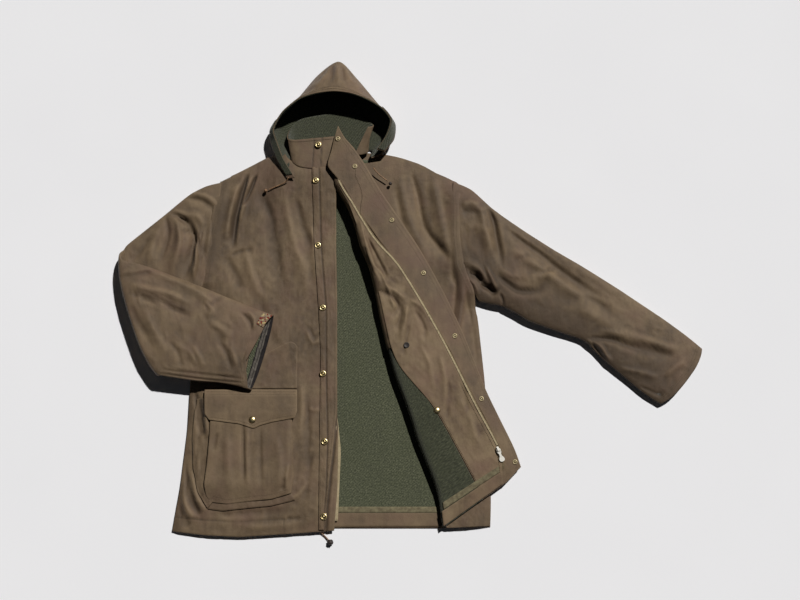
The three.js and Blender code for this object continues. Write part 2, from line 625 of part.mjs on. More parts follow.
sheet("hood_shell", hoodGrid(0, 1, 22), HOOD_CLOTH, WAX, 0);
sheet("hood_lining", hoodGrid(0.05, 0.95, 20), LINING, WOOL, -(HOOD_CLOTH / 2 + 0.9 + LINING / 2));

// ---- snaps ----
function snap(name, x, y, z, look = BRASS) {
  const profile = [[0, 0], [SNAP_R, 0], [SNAP_R - 1.2, SNAP_H], [3.4, SNAP_H], [0, 1.2]];
  const geometry = new THREE.LatheGeometry(profile.map(([r, h]) => new THREE.Vector2(r, h)), 9);
  geometry.rotateX(Math.PI / 2);
  geometry.translate(x, y, z);
  const mesh = new THREE.Mesh(geometry, new THREE.MeshStandardMaterial({ color: look.colour,
    roughness: look.roughness, metalness: look.metalness }));
  mesh.name = name;
  group.add(mesh);
}
const STUDS = plan([-205, 258], [-199, 116], [-187, -21], [-185, -163], [-180, -307],
  [-180, -462]);
STUDS.forEach((s, i) => snap(`snap_stud_${i + 2}`, s.x, s.y, plackTop(s.x, s.y) + 1.2));
snap("snap_stud_1", -200, 338, 35.5);
const SOCKETS = rows("v s", [0.938, 0.43], [0.758, 0.58], [0.568, 0.71], [0.413, 0.6],
  [0.278, 0.5], [0.178, 0.34], [0.045, 0.72]);
SOCKETS.forEach((k, i) => {
  const p = flapPoint(k.v, k.s, 0);
  snap(`snap_socket_${i + 1}`, p[0], p[1], p[2] + 3.2);
});
snap("cargo_pocket_snap", -331, -262, flapTopZ(-331, -262) + 0.7);
const inner = upperPoint(0.243, 0.42, FACE_OFF + LINING / 2 + 0.8);
snap("facing_snap", inner[0], inner[1], inner[2]);
const button = upperPoint(0.375, 0.34, FACE_OFF + LINING / 2 + 0.8);
snap("facing_button", button[0], button[1], button[2], { colour: 0x2b2420, roughness: 0.5, metalness: 0 });

// ---- zip slider and pull tab ----
// The tab's bar passes through the slider's bridge, so the tab swings about it and rests on the flap.
const ZIP_DIR = new THREE.Vector3(0.36, -0.93, 0).normalize();
const UP = new THREE.Vector3(0, 0, 1);
const ACROSS = new THREE.Vector3().crossVectors(ZIP_DIR, UP);
const SLIDER_W = 4;
const HINGE_UP = 4.8;       // bar centre above the slider's sole
const TAB_L = 27;
const TAB_W = 11;
const TAB_T = 1.4;
const zipEnd = upperPoint(0.12, 1 - 6 / rowLength(0.12, "f", "z"), TAPE_OFF + TAPE / 2 + 0.5);
const sole = new THREE.Vector3(...zipEnd);
function extruded(name, shape, depth, x, y, z, at, look) {
  const geometry = new THREE.ExtrudeGeometry(shape, { depth, bevelEnabled: false, curveSegments: 6 });
  geometry.translate(0, 0, -depth / 2);
  geometry.applyMatrix4(new THREE.Matrix4().makeBasis(x, y, z).setPosition(at));
  const mesh = new THREE.Mesh(geometry, new THREE.MeshStandardMaterial({ color: look.colour,
    roughness: look.roughness, metalness: look.metalness ?? 0 }));
  mesh.name = name;
  group.add(mesh);
}
const sliderSide = new THREE.Shape();
sliderSide.moveTo(-6, 0);
sliderSide.lineTo(6, 0);
sliderSide.lineTo(6, 2.6);
sliderSide.lineTo(4.4, 3);
sliderSide.lineTo(4, 6.4);
sliderSide.lineTo(2.6, 7.4);
sliderSide.lineTo(-2.6, 7.4);
sliderSide.lineTo(-4, 6.4);
sliderSide.lineTo(-4.4, 3);
sliderSide.lineTo(-6, 2.6);
sliderSide.closePath();
const bridge = new THREE.Path();
bridge.moveTo(-2.4, 3.3);
bridge.lineTo(-2.4, 6.2);
bridge.lineTo(2.4, 6.2);
bridge.lineTo(2.4, 3.3);
bridge.closePath();
sliderSide.holes.push(bridge);
extruded("zip_slider", sliderSide, SLIDER_W, ZIP_DIR, UP, ACROSS, sole, STEEL);
const TILT = 0.22;          // droop of the resting tab
const tabDir = ZIP_DIR.clone().multiplyScalar(Math.cos(TILT)).addScaledVector(UP, -Math.sin(TILT));
const tabWide = new THREE.Vector3().crossVectors(UP, ZIP_DIR);
const tabUp = new THREE.Vector3().crossVectors(tabDir, tabWide);
const tabFace = new THREE.Shape();
tabFace.moveTo(-0.8, -TAB_W * 0.36);
tabFace.lineTo(7, -TAB_W * 0.36);
tabFace.lineTo(10, -2.2);
tabFace.lineTo(15, -2.4);
tabFace.quadraticCurveTo(19, -TAB_W / 2, 22, -TAB_W / 2);
tabFace.quadraticCurveTo(TAB_L, -TAB_W / 2, TAB_L, 0);
tabFace.quadraticCurveTo(TAB_L, TAB_W / 2, 22, TAB_W / 2);
tabFace.quadraticCurveTo(19, TAB_W / 2, 15, 2.4);
tabFace.lineTo(10, 2.2);
tabFace.lineTo(7, TAB_W * 0.36);
tabFace.lineTo(-0.8, TAB_W * 0.36);
tabFace.closePath();
const tabEye = new THREE.Path();
tabEye.moveTo(0.8, -2.5);
tabEye.lineTo(0.8, 2.5);
tabEye.lineTo(6.2, 2.5);
tabEye.lineTo(6.2, -2.5);
tabEye.closePath();
tabFace.holes.push(tabEye);
extruded("zip_pull_tab", tabFace, TAB_T, tabDir, tabWide, tabUp,
  sole.clone().addScaledVector(UP, HINGE_UP), STEEL);

// ---- cuff tab folded over the edge of the right cuff ----
const tabGrid = [];
for (let i = 0; i <= 2; i += 1) {
  tabGrid.push([]);
  for (let j = 0; j <= 3; j += 1) {
    tabGrid[i].push(ringPoint(SLEEVE_RIGHT, -1, lerp(0.955, 0.999, i / 2), lerp(-0.35, -1.0, j / 3), -1.5));
  }
}
sheet("cuff_right_tab", tabGrid, 1.2, { colour: 0x6e3d2a, roughness: 0.8 });

// ---- drawcords and their ends ----
function cord(name, path, radius, look) {
  const curve = new THREE.CatmullRomCurve3(path.map((p) => new THREE.Vector3(...p)));
  const shape = new THREE.Shape();
  for (let k = 0; k < 8; k += 1) {
    const a = Math.PI * k / 4;
    if (k === 0) shape.moveTo(radius, 0);
    else shape.lineTo(radius * Math.cos(a), radius * Math.sin(a));
  }
  shape.closePath();
  const steps = Math.max(6, Math.round(curve.getLength() / (radius * 5)));
  const geometry = new THREE.ExtrudeGeometry(shape, { steps, extrudePath: curve, bevelEnabled: false });
  const mesh = new THREE.Mesh(geometry, new THREE.MeshStandardMaterial({ color: look.colour,
    roughness: look.roughness, metalness: 0 }));
  mesh.name = name;
  group.add(mesh);
}
function knot(name, x, y, z, r, look) {
  const profile = [[0, -r], [r * 0.75, -r * 0.6], [r, 0], [r * 0.75, r * 0.6], [0, r]];
  const geometry = new THREE.LatheGeometry(profile.map(([a, b]) => new THREE.Vector2(a, b)), 8);
  geometry.rotateZ(Math.PI / 3);
  geometry.translate(x, y, z);
  const mesh = new THREE.Mesh(geometry, new THREE.MeshStandardMaterial({ color: look.colour,
    roughness: look.roughness, metalness: 0 }));
  mesh.name = name;
  group.add(mesh);
}
cord("hood_cord_right", [[-262, 262, 42], [-270, 254, 34], [-284, 248, 29], [-298, 243, 26], [-306, 240, 25]],
  CORD_R, HIDE);
knot("hood_cord_right_knot", -313, 237, 25.5, 4.5, HIDE);
cord("hood_cord_left", [[-80, 288, 27], [-74, 281, 24], [-66, 273, 22], [-57, 266, 21], [-49, 260, 20.5]],
  CORD_R, HIDE);
knot("hood_cord_left_knot", -43, 254, 20.5, 4.5, HIDE);
cord("hem_cord", [[-188, -492, 4.4], [-182, -498, 3], [-175, -504, 2.2], [-171, -508, 3.4]], CORD_R, HIDE);
knot("hem_cord_knot", -166, -514, 6.2, 6, HIDE);

group.updateMatrixWorld(true);
const CORDS = /cord/;
const box = new THREE.Box3();
for (const mesh of group.children) if (!CORDS.test(mesh.name)) box.expandByObject(mesh);
const middle = box.getCenter(new THREE.Vector3());
for (const mesh of group.children) mesh.geometry.translate(-middle.x, -middle.y, -box.min.z);

export default group;
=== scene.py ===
"""A hooded waxed cotton field coat laid open on its back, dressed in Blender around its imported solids.

Lengths in the tables are millimetres on the coat's own plan: x across the coat, y from hem to hood,
z up from the surface it lies on. The meshes are in metres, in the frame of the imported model.
"""
import math
import bpy
import numpy as np
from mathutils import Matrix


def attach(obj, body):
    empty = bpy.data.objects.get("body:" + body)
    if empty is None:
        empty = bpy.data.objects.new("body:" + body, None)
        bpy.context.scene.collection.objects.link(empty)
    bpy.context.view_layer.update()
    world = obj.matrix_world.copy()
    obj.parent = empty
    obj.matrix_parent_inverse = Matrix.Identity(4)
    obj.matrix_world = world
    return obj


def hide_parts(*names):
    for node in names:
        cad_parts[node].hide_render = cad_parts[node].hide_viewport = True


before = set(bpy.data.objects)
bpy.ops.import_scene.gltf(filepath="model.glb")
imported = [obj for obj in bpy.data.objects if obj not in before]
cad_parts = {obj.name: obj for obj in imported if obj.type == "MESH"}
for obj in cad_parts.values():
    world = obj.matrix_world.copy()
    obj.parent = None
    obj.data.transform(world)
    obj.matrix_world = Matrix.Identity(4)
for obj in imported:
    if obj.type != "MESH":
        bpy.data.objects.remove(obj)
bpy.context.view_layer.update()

PLAN_X, PLAN_Y = -2.5952, 21.4749    # plan point that lies at the frame's origin
MM = 0.001
BODY = "coat"
FINE = 0.79    # grid fineness

SHELL = 1.9         # thickness of the waxed cotton
LINING = 1.4        # thickness of the wool, and of the facing
POCKET = 1.7        # thickness of the pocket's bag and flap
FOLDED = 1.5        # thickness of the placket and gussets
HOOD_SHELL = 1.6    # thickness of the hood's and collar's waxed cotton
TRIM = 0.9          # thickness of tapes and bindings


def place(points):
    """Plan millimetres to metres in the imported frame."""
    p = np.asarray(points, float)
    return (p - (PLAN_X, PLAN_Y, 0.0)) * MM


def unit(vectors):
    """Vectors scaled to length 1."""
    return vectors / np.maximum(np.linalg.norm(vectors, axis=-1, keepdims=True), 1e-9)


def bell(distance, width):
    """1 at distance 0, fading both ways over about the width."""
    return np.exp(-(distance / width)**2)


def xy(points):
    """x and y of an array of points."""
    return points[..., 0], points[..., 1]


# ---------------------------------------------------------------- tables and curves
def table(names, *rows):
    """Columns of a table of rows, by name."""
    return dict(zip(names.split(), np.array(rows, float).T))


def smooth(values, share):
    """Cubic through a column's values at even shares 0 to 1, slopes 0.8 of the central difference."""
    values = np.asarray(values, float)
    last = len(values) - 1
    f = np.clip(share, 0, 1) * last
    i = np.minimum(f.astype(int), last - 1)
    t = f - i
    a, b = values[i], values[i + 1]
    m1 = (b - values[np.maximum(i - 1, 0)]) * 0.4
    m2 = (values[np.minimum(i + 2, last)] - a) * 0.4
    return ((2 * t**3 - 3 * t**2 + 1) * a + (t**3 - 2 * t**2 + t) * m1
            + (3 * t**2 - 2 * t**3) * b + (t**3 - t**2) * m2)


def ease(t):
    """Smooth step from 0 to 1."""
    c = np.clip(t, 0, 1)
    return c * c * (3 - 2 * c)


def along(edge, share, round_off=0.02):
    """Points at shares of a polyline's length, its corners rounded by averaging nearby points."""
    edge = np.asarray(edge, float)
    run = np.concatenate([[0], np.cumsum(np.hypot(*np.diff(edge, axis=0).T))])
    run /= run[-1]
    total = 0
    offsets = np.linspace(-1, 1, 7)
    for k in offsets:
        reach = round_off * np.minimum(1, np.minimum(share, 1 - share) / round_off)
        s = share + k * reach
        total = total + np.stack([np.interp(s, run, edge[:, 0]), np.interp(s, run, edge[:, 1])], -1)
    return total / len(offsets)


def patch(left, right, bottom, top, nu, nv):
    """Plan points of a panel filled between four edges (Coons), nv + 1 rows of nu + 1."""
    u = np.linspace(0, 1, nu + 1)
    v = np.linspace(0, 1, nv + 1)
    l, r, b, t = along(left, v), along(right, v), along(bottom, u), along(top, u)
    uu, vv = u[None, :, None], v[:, None, None]
    corners = ((1 - uu) * (1 - vv) * l[0] + uu * (1 - vv) * r[0] + (1 - uu) * vv * l[-1] + uu * vv * r[-1])
    return (1 - uu) * l[:, None] + uu * r[:, None] + (1 - vv) * b[None] + vv * t[None] - corners


def value_noise(x, y, size, seed):
    """Smooth noise, -1 to 1: seeded values on a square lattice of that size, blended by smooth steps."""
    gx, gy = x / size, y / size
    ix, iy = np.floor(gx).astype(int), np.floor(gy).astype(int)
    tx, ty = ease(gx - ix), ease(gy - iy)

    def at(i, j):
        """Seeded value of one lattice corner."""
        h = np.sin(i * 127.1 + j * 311.7 + seed * 74.7) * 43758.5453
        return 2 * (h - np.floor(h)) - 1

    low = at(ix, iy) * (1 - tx) + at(ix + 1, iy) * tx
    high = at(ix, iy + 1) * (1 - tx) + at(ix + 1, iy + 1) * tx
    return low * (1 - ty) + high * ty


def crumple(x, y, size, seed):
    """Crisp small wrinkles: folded noise of three sizes, turned against each other."""
    total = 0
    for k in range(3):
        c, s = math.cos(1.1 * k + seed), math.sin(1.1 * k + seed)
        n = value_noise(c * x - s * y, s * x + c * y, size * 0.62**k, seed + k)
        total = total + (0.5 - np.abs(n)) * 0.6**k
    return total


def creases(x, y, rows):
    """Sum of soft folds: a ridge (height > 0) or trough along a bowed line, steeper on one side.

    A row is x0, y0, x1, y1, height, width, bow."""
    total = np.zeros_like(x)
    for x0, y0, x1, y1, h, w, bend in rows:
        dx, dy = x1 - x0, y1 - y0
        length = math.hypot(dx, dy)
        t = ((x - x0) * dx + (y - y0) * dy) / length**2
        d = ((x - x0) * dy - (y - y0) * dx) / length
        d = d - bend * 4 * t * (1 - t)
        width = w * (0.55 + 0.6 * np.clip(t, 0, 1))
        side = np.where(d > 0, 1.35, 0.75)
        fade = ease((t + 0.02) / 0.3) * ease((1.02 - t) / 0.35)
        total = total + h * fade * bell(d, width * side)
    return total * 1.45


def folds(x, y, rows):
    """Sum of soft ridges (height > 0) and troughs along smooth lines through the row's points.

    A row is height, width, x0, y0, x1, y1, ... The section is a bell, steeper on one side; it fades
    in over the first quarter of the line and out over the last."""
    total = np.zeros(np.shape(x))
    for row in rows:
        h, w = row[0], row[1]
        pts = np.array(row[2:], float).reshape(-1, 2)
        share = np.linspace(0, 1, 6 * len(pts))
        line = np.stack([smooth(pts[:, 0], share), smooth(pts[:, 1], share)], -1)
        low, high = line.min(0) - 4.5 * w, line.max(0) + 4.5 * w
        near = (x > low[0]) & (x < high[0]) & (y > low[1]) & (y < high[1])
        px, py = x[near], y[near]
        best, t_best, side = np.full(px.shape, 1e9), np.zeros(px.shape), np.zeros(px.shape)
        for k in range(len(line) - 1):
            (x0, y0), (dx, dy) = line[k], line[k + 1] - line[k]
            t = np.clip(((px - x0) * dx + (py - y0) * dy) / (dx * dx + dy * dy), 0, 1)
            d = np.hypot(px - x0 - t * dx, py - y0 - t * dy)
            closer = d < best
            best = np.where(closer, d, best)
            t_best = np.where(closer, (k + t) / (len(line) - 1), t_best)
            side = np.where(closer, (px - x0) * dy - (py - y0) * dx, side)
        width = 1.12 * w * (0.7 + 0.5 * t_best) * (1.05 + 0.25 * np.tanh(side / 60))
        fade = ease((t_best + 0.03) / 0.28) * ease((1.03 - t_best) / 0.3)
        total[near] += 1.25 * h * fade * bell(best, width)
    return total


def line_distance(x, y, line):
    """Distance in plan from a polyline."""
    best = np.full(np.shape(x), 1e9)
    for (x0, y0), (x1, y1) in zip(line[:-1], line[1:]):
        dx, dy = x1 - x0, y1 - y0
        t = np.clip(((x - x0) * dx + (y - y0) * dy) / (dx * dx + dy * dy), 0, 1)
        best = np.minimum(best, np.hypot(x - x0 - t * dx, y - y0 - t * dy))
    return best


def seam(x, y, line):
    """Groove along a sewn line, with small puckers across it."""
    d = line_distance(x, y, line)
    return 0.35 * value_noise(x * 1.6, y * 1.6, 9, 3) * bell(d, 9) - 0.9 * bell(d, 1.8)


# ---------------------------------------------------------------- meshes
def new_object(name, verts, faces, uv=None, smooth_shading=True, **attributes):
    """Mesh object at the origin from arrays of points and quads or triangles, with a UV in metres."""
    mesh = bpy.data.meshes.new(name)
    mesh.from_pydata(verts.tolist(), [], faces.tolist() if hasattr(faces, "tolist") else faces)
    mesh.polygons.foreach_set("use_smooth", [smooth_shading] * len(mesh.polygons))
    loops = np.empty(len(mesh.loops), int)
    mesh.loops.foreach_get("vertex_index", loops)
    if uv is not None:
        layer = mesh.uv_layers.new(name="cloth")
        layer.data.foreach_set("uv", uv[loops].astype(np.float32).ravel())
    for key, values in attributes.items():
        mesh.attributes.new(key, "FLOAT", "POINT").data.foreach_set("value",
                                                                    values.astype(np.float32).ravel())
    mesh.update()
    obj = bpy.data.objects.new(name, mesh)
    bpy.context.scene.collection.objects.link(obj)
    return obj


def grid_normals(p, wrap):
    """Unit normals of a grid of points: cross of its two finite differences."""
    du = np.roll(p, -1, 1) - np.roll(p, 1, 1) if wrap else np.gradient(p, axis=1)
    return unit(np.cross(du, np.gradient(p, axis=0)))


def shell_faces(rows, cols, wrap):
    """Quads of one grid of points."""
    j = np.arange(cols if wrap else cols - 1)
    i = np.arange(rows - 1)
    a = i[:, None] * cols + j[None]
    b = i[:, None] * cols + (j[None] + 1) % cols
    return np.stack([a, b, b + cols, a + cols], -1).reshape(-1, 4)


def border(rows, cols, wrap):
    """Index loops round a grid, each in order."""
    first = np.arange(cols)
    last = (rows - 1) * cols + first
    if wrap:
        return [first, last]
    right = np.arange(rows) * cols + cols - 1
    left = np.arange(rows) * cols
    return [np.concatenate([first[:-1], right[:-1], last[:0:-1], left[:0:-1]])]


def surface_uv(p):
    """UV of a grid in metres: mean distances across its columns and along its rows."""
    steps = (np.linalg.norm(np.diff(p, axis=1 - k), axis=-1).mean(k) for k in (0, 1))
    u, v = (np.concatenate([[0], np.cumsum(step)]) * MM for step in steps)
    return np.stack(np.broadcast_arrays(u[None, :], v[:, None]), -1).reshape(-1, 2)


def relief_wear(p, n, wrap, reach=3):
    """Wear and painted shade from a surface's own relief: ridges rubbed paler, hollows darkened as painted
    shade, nothing along its edges.
    """
    pad = np.pad(p, ((reach, reach), (0, 0), (0, 0)), "edge")
    if wrap:
        pad = np.concatenate([pad[:, -reach:], pad, pad[:, :reach]], 1)
    else:
        pad = np.pad(pad, ((0, 0), (reach, reach), (0, 0)), "edge")
    core, ahead, behind = slice(reach, -reach), slice(2 * reach, None), slice(None, -2 * reach)
    around = (pad[ahead, core] + pad[behind, core] + pad[core, ahead] + pad[core, behind]) / 4
    relief = ((p - around) * n).sum(-1)
    relief[:reach], relief[-reach:] = 0, 0
    if not wrap:
        relief[:, :reach], relief[:, -reach:] = 0, 0
    return np.clip(relief * 0.22, -0.4, 0.3)


def rim_points(mid, thick, ring, wrap):
    """Points of a shell's rounded edge, just outside one border ring of its middle grid."""
    rows, cols = mid.shape[:2]
    r, c = ring // cols, ring % cols
    inward = mid[np.clip(r, 1, rows - 2), c if wrap else np.clip(c, 1, cols - 2)]
    return mid[r, c] + unit(mid[r, c] - inward) * thick * 0.42


def dress(obj, look, nodes="", body=BODY):
    """Give an object its look's material, the body it rides and the nodes it stands for."""
    slot, material = look
    obj.data.materials.append(material)
    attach(obj, body)
    if nodes:
        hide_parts(*nodes.split())
    return obj


def cloth(name, p, thick, nodes, look, wrap=False, up_at=(0.5, 0.5), sheet=None, wear=0.0, lift=0.0):
    """Thin closed shell: outer face on the grid p, inner face a thickness inside it along the normals,
    joined by a rounded edge. The outer face looks up at the share up_at of the grid; lift moves it outward."""
    p = np.asarray(p, float)
    rows, cols = p.shape[:2]
    n = grid_normals(p, wrap)
    if wrap:
        outward = (n * (p - p.mean(axis=1, keepdims=True))).sum()
    else:
        outward = n[int(up_at[0] * (rows - 1)), int(up_at[1] * (cols - 1)), 2]
    if outward < 0:
        n = -n
    p = p + n * lift
    inner = p - n * thick
    mid = (p + inner) / 2
    uv = surface_uv(p)
    # the attribute's positive values pale the waxed cotton as rubbed wear, its negative values darken it as
    # painted shade
    wear = (wear + relief_wear(p, n, wrap)).ravel()
    points = rows * cols
    quads = shell_faces(rows, cols, wrap)
    verts, uvs, wears = [p.reshape(-1, 3), inner.reshape(-1, 3)], [uv, uv], [wear, wear]
    faces, base = [quads, quads[:, ::-1] + points], 2 * points
    for ring in border(rows, cols, wrap):
        verts.append(rim_points(mid, thick, ring, wrap))
        uvs.append(uv[ring])
        wears.append(np.minimum(1.0, wear[ring] + 0.35))
        at = base + np.arange(len(ring))
        at_next, ring_next = np.roll(at, -1), np.roll(ring, -1)
        sides = [np.stack([ring, at, at_next, ring_next], -1),
                 np.stack([at, points + ring, points + ring_next, at_next], -1)]
        if wrap and ring[0] != 0:
            sides = [side[:, ::-1] for side in sides]
        faces += sides
        base += len(ring)
    verts, faces = place(np.concatenate(verts)), np.concatenate(faces)
    a, b, c, d = (verts[faces[:, k]] for k in range(4))
    if (np.cross(a, b) * c).sum() + (np.cross(a, c) * d).sum() < 0:
        faces = faces[:, ::-1]
    obj = dress(new_object(name, verts, faces, np.concatenate(uvs), wear=np.concatenate(wears)), look, nodes)
    return obj


def resample(line, pitch):
    """Points at an even pitch along a 3-D line, with its directions."""
    line = np.asarray(line, float)
    run = np.concatenate([[0], np.cumsum(np.linalg.norm(np.diff(line, axis=0), axis=1))])
    count = max(2, int(run[-1] / pitch))
    s = (np.arange(count) + 0.5) * run[-1] / count
    at = np.stack([np.interp(s, run, line[:, k]) for k in range(3)], -1)
    ahead = np.stack([np.interp(s + 0.6, run, line[:, k]) for k in range(3)], -1)
    back = np.stack([np.interp(s - 0.6, run, line[:, k]) for k in range(3)], -1)
    return at, unit(ahead - back)


STITCH_PITCH, STITCH_LENGTH, STITCH_WIDTH = 3.4, 2.5, 0.42


def stitches(name, lines):
    """Rows of short threads lying on the cloth, each a lozenge pinched where it enters the cloth."""
    around = ((1, 0), (0, 1), (-1, 0), (0, -1))
    shape = np.array([(-0.5, 0, -0.7), *((x, y, z) for x in (-0.3, 0.3) for y, z in around), (0.5, 0, -0.7)])
    shape = shape * (STITCH_LENGTH, STITCH_WIDTH, STITCH_WIDTH)
    sides = [(1, 5, 6, 2), (2, 6, 7, 3), (3, 7, 8, 4), (4, 8, 5, 1)]
    ends = [(0, 1, 2), (0, 2, 3), (0, 3, 4), (0, 4, 1), (9, 6, 5), (9, 7, 6), (9, 8, 7), (9, 5, 8)]
    verts, faces, base = [], [], 0
    for line in lines:
        at, t = resample(line, STITCH_PITCH)
        side = unit(np.cross((0, 0, 1), t))
        axes = np.stack([t, side, np.cross(t, side)], 1)
        verts.append((at[:, None] + shape @ axes).reshape(-1, 3))
        start = base + len(shape) * np.arange(len(at))
        for face in sides + ends:
            faces += np.stack([start + k for k in face], -1).tolist()
        base += len(shape) * len(at)
    return dress(new_object(name, place(np.concatenate(verts)), faces), THREAD)


def closed_round(rings, low, high):
    """Closed mesh through rings of points, with a point closing each end."""
    rows, sides = rings.shape[:2]
    faces = shell_faces(rows, sides, True).tolist()
    tip, top = rows * sides, (rows - 1) * sides
    for k in range(sides):
        after = (k + 1) % sides
        faces += [(tip, after, k), (tip + 1, top + k, top + after)]
    return np.concatenate([rings.reshape(-1, 3), [low], [high]]), faces


def lathe(profile, at, sides=32):
    """Closed solid turned about z: profile rows of radius and height from axis to axis."""
    radius, height = np.array(profile, float).T
    a = np.arange(sides) * 2 * math.pi / sides
    r, z = radius[1:-1, None], np.repeat(height[1:-1, None], sides, 1)
    verts, faces = closed_round(np.stack([r * np.cos(a), r * np.sin(a), z], -1), (0, 0, height[0]),
                                (0, 0, height[-1]))
    return verts + np.asarray(at, float), faces


def merged(parts):
    """Several (verts, faces) as one."""
    verts, faces, base = [], [], 0
    for v, f in parts:
        verts.append(v)
        faces += [[base + k for k in face] for face in f]
        base += len(v)
    return np.concatenate(verts), faces


def tube(path, radius, sides):
    """Round tube along points, its rings square to the path."""
    t = unit(np.gradient(path, axis=0))
    side = unit(np.cross(t, (0, 0, 1)))
    rise = np.cross(side, t)
    a = (np.arange(sides) * 2 * math.pi / sides)[None, :, None]
    rings = path[:, None] + radius * (np.cos(a) * side[:, None] + np.sin(a) * rise[:, None])
    verts, faces = closed_round(rings, path[0], path[-1])
    a0, b0, c0 = (np.array([verts[f[k]] for f in faces]) for k in range(3))
    if (np.cross(a0, b0) * c0).sum() < 0:
        faces = [f[::-1] for f in faces]
    return verts, faces


def solid(name, mesh, look, nodes):
    """Small closed piece from its verts and faces on the plan."""
    verts, faces = mesh
    return dress(new_object(name, place(verts), faces), look, nodes)


# ---------------------------------------------------------------- materials
class Nodes:
    """Short hand for building one material's node tree."""

    def __init__(self, name):
        """New material with its surface shader."""
        self.material = bpy.data.materials.new(name)
        self.material.use_nodes = True
        self.tree = self.material.node_tree
        self.bsdf = self.tree.nodes["Principled BSDF"]

    def feed(self, node, inputs):
        """Link or set a node's inputs. A colour of three numbers is opaque."""
        for key, value in inputs.items():
            socket = node.inputs[key]
            if isinstance(value, bpy.types.NodeSocket):
                self.tree.links.new(value, socket)
            else:
                socket.default_value = (*value, 1) if socket.type == "RGBA" and len(value) == 3 else value
        return node

    def add(self, kind, inputs=None, **settings):
        """New node with its settings and inputs."""
        node = self.tree.nodes.new(kind)
        for key, value in settings.items():
            setattr(node, key, value)
        return self.feed(node, inputs or {})

    def shade(self, **inputs):
        """Inputs of the surface shader, with _ for a space."""
        self.feed(self.bsdf, {key.replace("_", " "): value for key, value in inputs.items()})

    def coordinates(self):
        """Object and UV coordinates."""
        where = self.add("ShaderNodeTexCoord").outputs
        return where["Object"], where["UV"]

    def ramp(self, fac, *stops):
        """Colour ramp with stops of position and colour."""
        node = self.add("ShaderNodeValToRGB", {"Fac": fac})
        for element, (position, colour) in zip(node.color_ramp.elements, stops):
            element.position = position
            element.color = (*colour, 1)
        for position, colour in stops[2:]:
            node.color_ramp.elements.new(position).color = (*colour, 1)
        return node.outputs["Color"]

    def noise(self, vector, scale, detail=4.0, rough=0.55, distort=0.0):
        """Noise of 0 to 1."""
        return self.add("ShaderNodeTexNoise", {"Vector": vector, "Scale": scale, "Detail": detail,
                                               "Roughness": rough, "Distortion": distort}).outputs["Fac"]

    def wave(self, vector, scale, distort, detail, direction):
        """Bands of 0 to 1 along one direction."""
        return self.add("ShaderNodeTexWave", {"Vector": vector, "Scale": scale, "Distortion": distort,
                                              "Detail": detail}, bands_direction=direction).outputs["Fac"]

    def math(self, operation, a, b=0.0, clamp=False):
        """One arithmetic step."""
        return self.add("ShaderNodeMath", {0: a, 1: b}, operation=operation, use_clamp=clamp).outputs[0]

    def weighted(self, first, *others):
        """Sum of (value, share) pairs."""
        total = self.math("MULTIPLY", *first)
        for pair in others:
            total = self.math("ADD", total, self.math("MULTIPLY", *pair))
        return total

    def above(self, value, level, gain):
        """How far a value is above a level, times a gain, 0 to 1."""
        return self.math("MULTIPLY", self.math("SUBTRACT", value, level, True), gain, True)

    def spread(self, value, low, high):
        """A value of 0 to 1 mapped to low to high."""
        return self.add("ShaderNodeMapRange", {"Value": value, "To Min": low, "To Max": high}).outputs[0]

    def mix(self, fac, a, b):
        """Colour b over colour a."""
        return self.add("ShaderNodeMix", {0: fac, 6: a, 7: b}, data_type="RGBA").outputs[2]

    def bump(self, height, distance, strength, normal=None):
        """Normals of a height, over those given."""
        inputs = {"Height": height, "Distance": distance, "Strength": strength}
        if normal is not None:
            inputs["Normal"] = normal
        return self.add("ShaderNodeBump", inputs).outputs["Normal"]


def tint(colour, *gains):
    """Colour with its three numbers scaled, each by its own gain or all by one."""
    return tuple(c * g for c, g in zip(colour, gains * 3 if len(gains) == 1 else gains))


WAVE_SCALE = 2 * math.pi / 20    # scale of a wave texture whose bands are 1 m apart


def weave(n, uv, period):
    """Height of a plain weave: two trains of ribs at right angles, one over the other in turn."""
    scale = WAVE_SCALE / period
    return n.math("MULTIPLY", n.wave(uv, scale, 0.6, 1.0, "X"), n.wave(uv, scale, 0.6, 1.0, "Y"))


def waxed(name, light, mid, dark, rough=0.62):
    """Waxed cotton: uneven brown where the wax has worn, paler on ridges and edges as rubbed wear, darker
    where painted shade is laid on through the attribute, fine plain weave.
    """
    n = Nodes(name)
    obj, uv = n.coordinates()
    small = n.noise(obj, 38.0, 5.0, 0.62, 0.3)
    stretched = n.add("ShaderNodeMapping", {"Vector": obj, "Scale": (1, 0.16, 1)}).outputs[0]
    mottle = n.weighted((n.noise(obj, 7.0, 3.0, 0.6, 0.4), 0.46), (small, 0.29),
                        (n.noise(stretched, 60.0, 4.0, 0.6, 0.2), 0.25))
    colour = n.ramp(mottle, (0.40, dark), (0.50, mid), (0.60, light))
    colour = n.mix(n.above(n.noise(obj, 14.0, 2.0, 0.5, 0.2), 0.47, 2.6), colour, tint(mid, 1.02, 0.86, 1.04))
    wear = n.add("ShaderNodeAttribute", attribute_name="wear").outputs["Fac"]
    rub = n.math("MULTIPLY", n.math("MAXIMUM", wear, 0.0), n.math("ADD", small, 0.35), True)
    # negative values of the attribute mix in a darker brown: painted shade in hollows, in the placket slit and
    # on the left sleeve's lower side, and dark seam lines
    painted_shade = n.math("MULTIPLY", wear, -1.0, True)
    colour = n.mix(painted_shade, n.mix(rub, colour, tint(light, 1.25)), tint(dark, 0.62, 0.60, 0.60))
    colour = n.mix(n.above(n.noise(uv, 900.0, 2.0, 0.7), 0.42, 1.4), colour, tint(mid, 0.72))
    crinkle = n.bump(n.noise(obj, 95.0, 5.0, 0.6, 0.6), 0.0011, 0.55)
    n.shade(Base_Color=colour, Roughness=n.spread(mottle, rough - 0.10, rough + 0.14),
            Specular_IOR_Level=0.34,
            Sheen_Weight=0.05, Sheen_Roughness=0.5,
            Normal=n.bump(weave(n, uv, 0.00075), 0.00016, 0.7, crinkle))
    return n.material


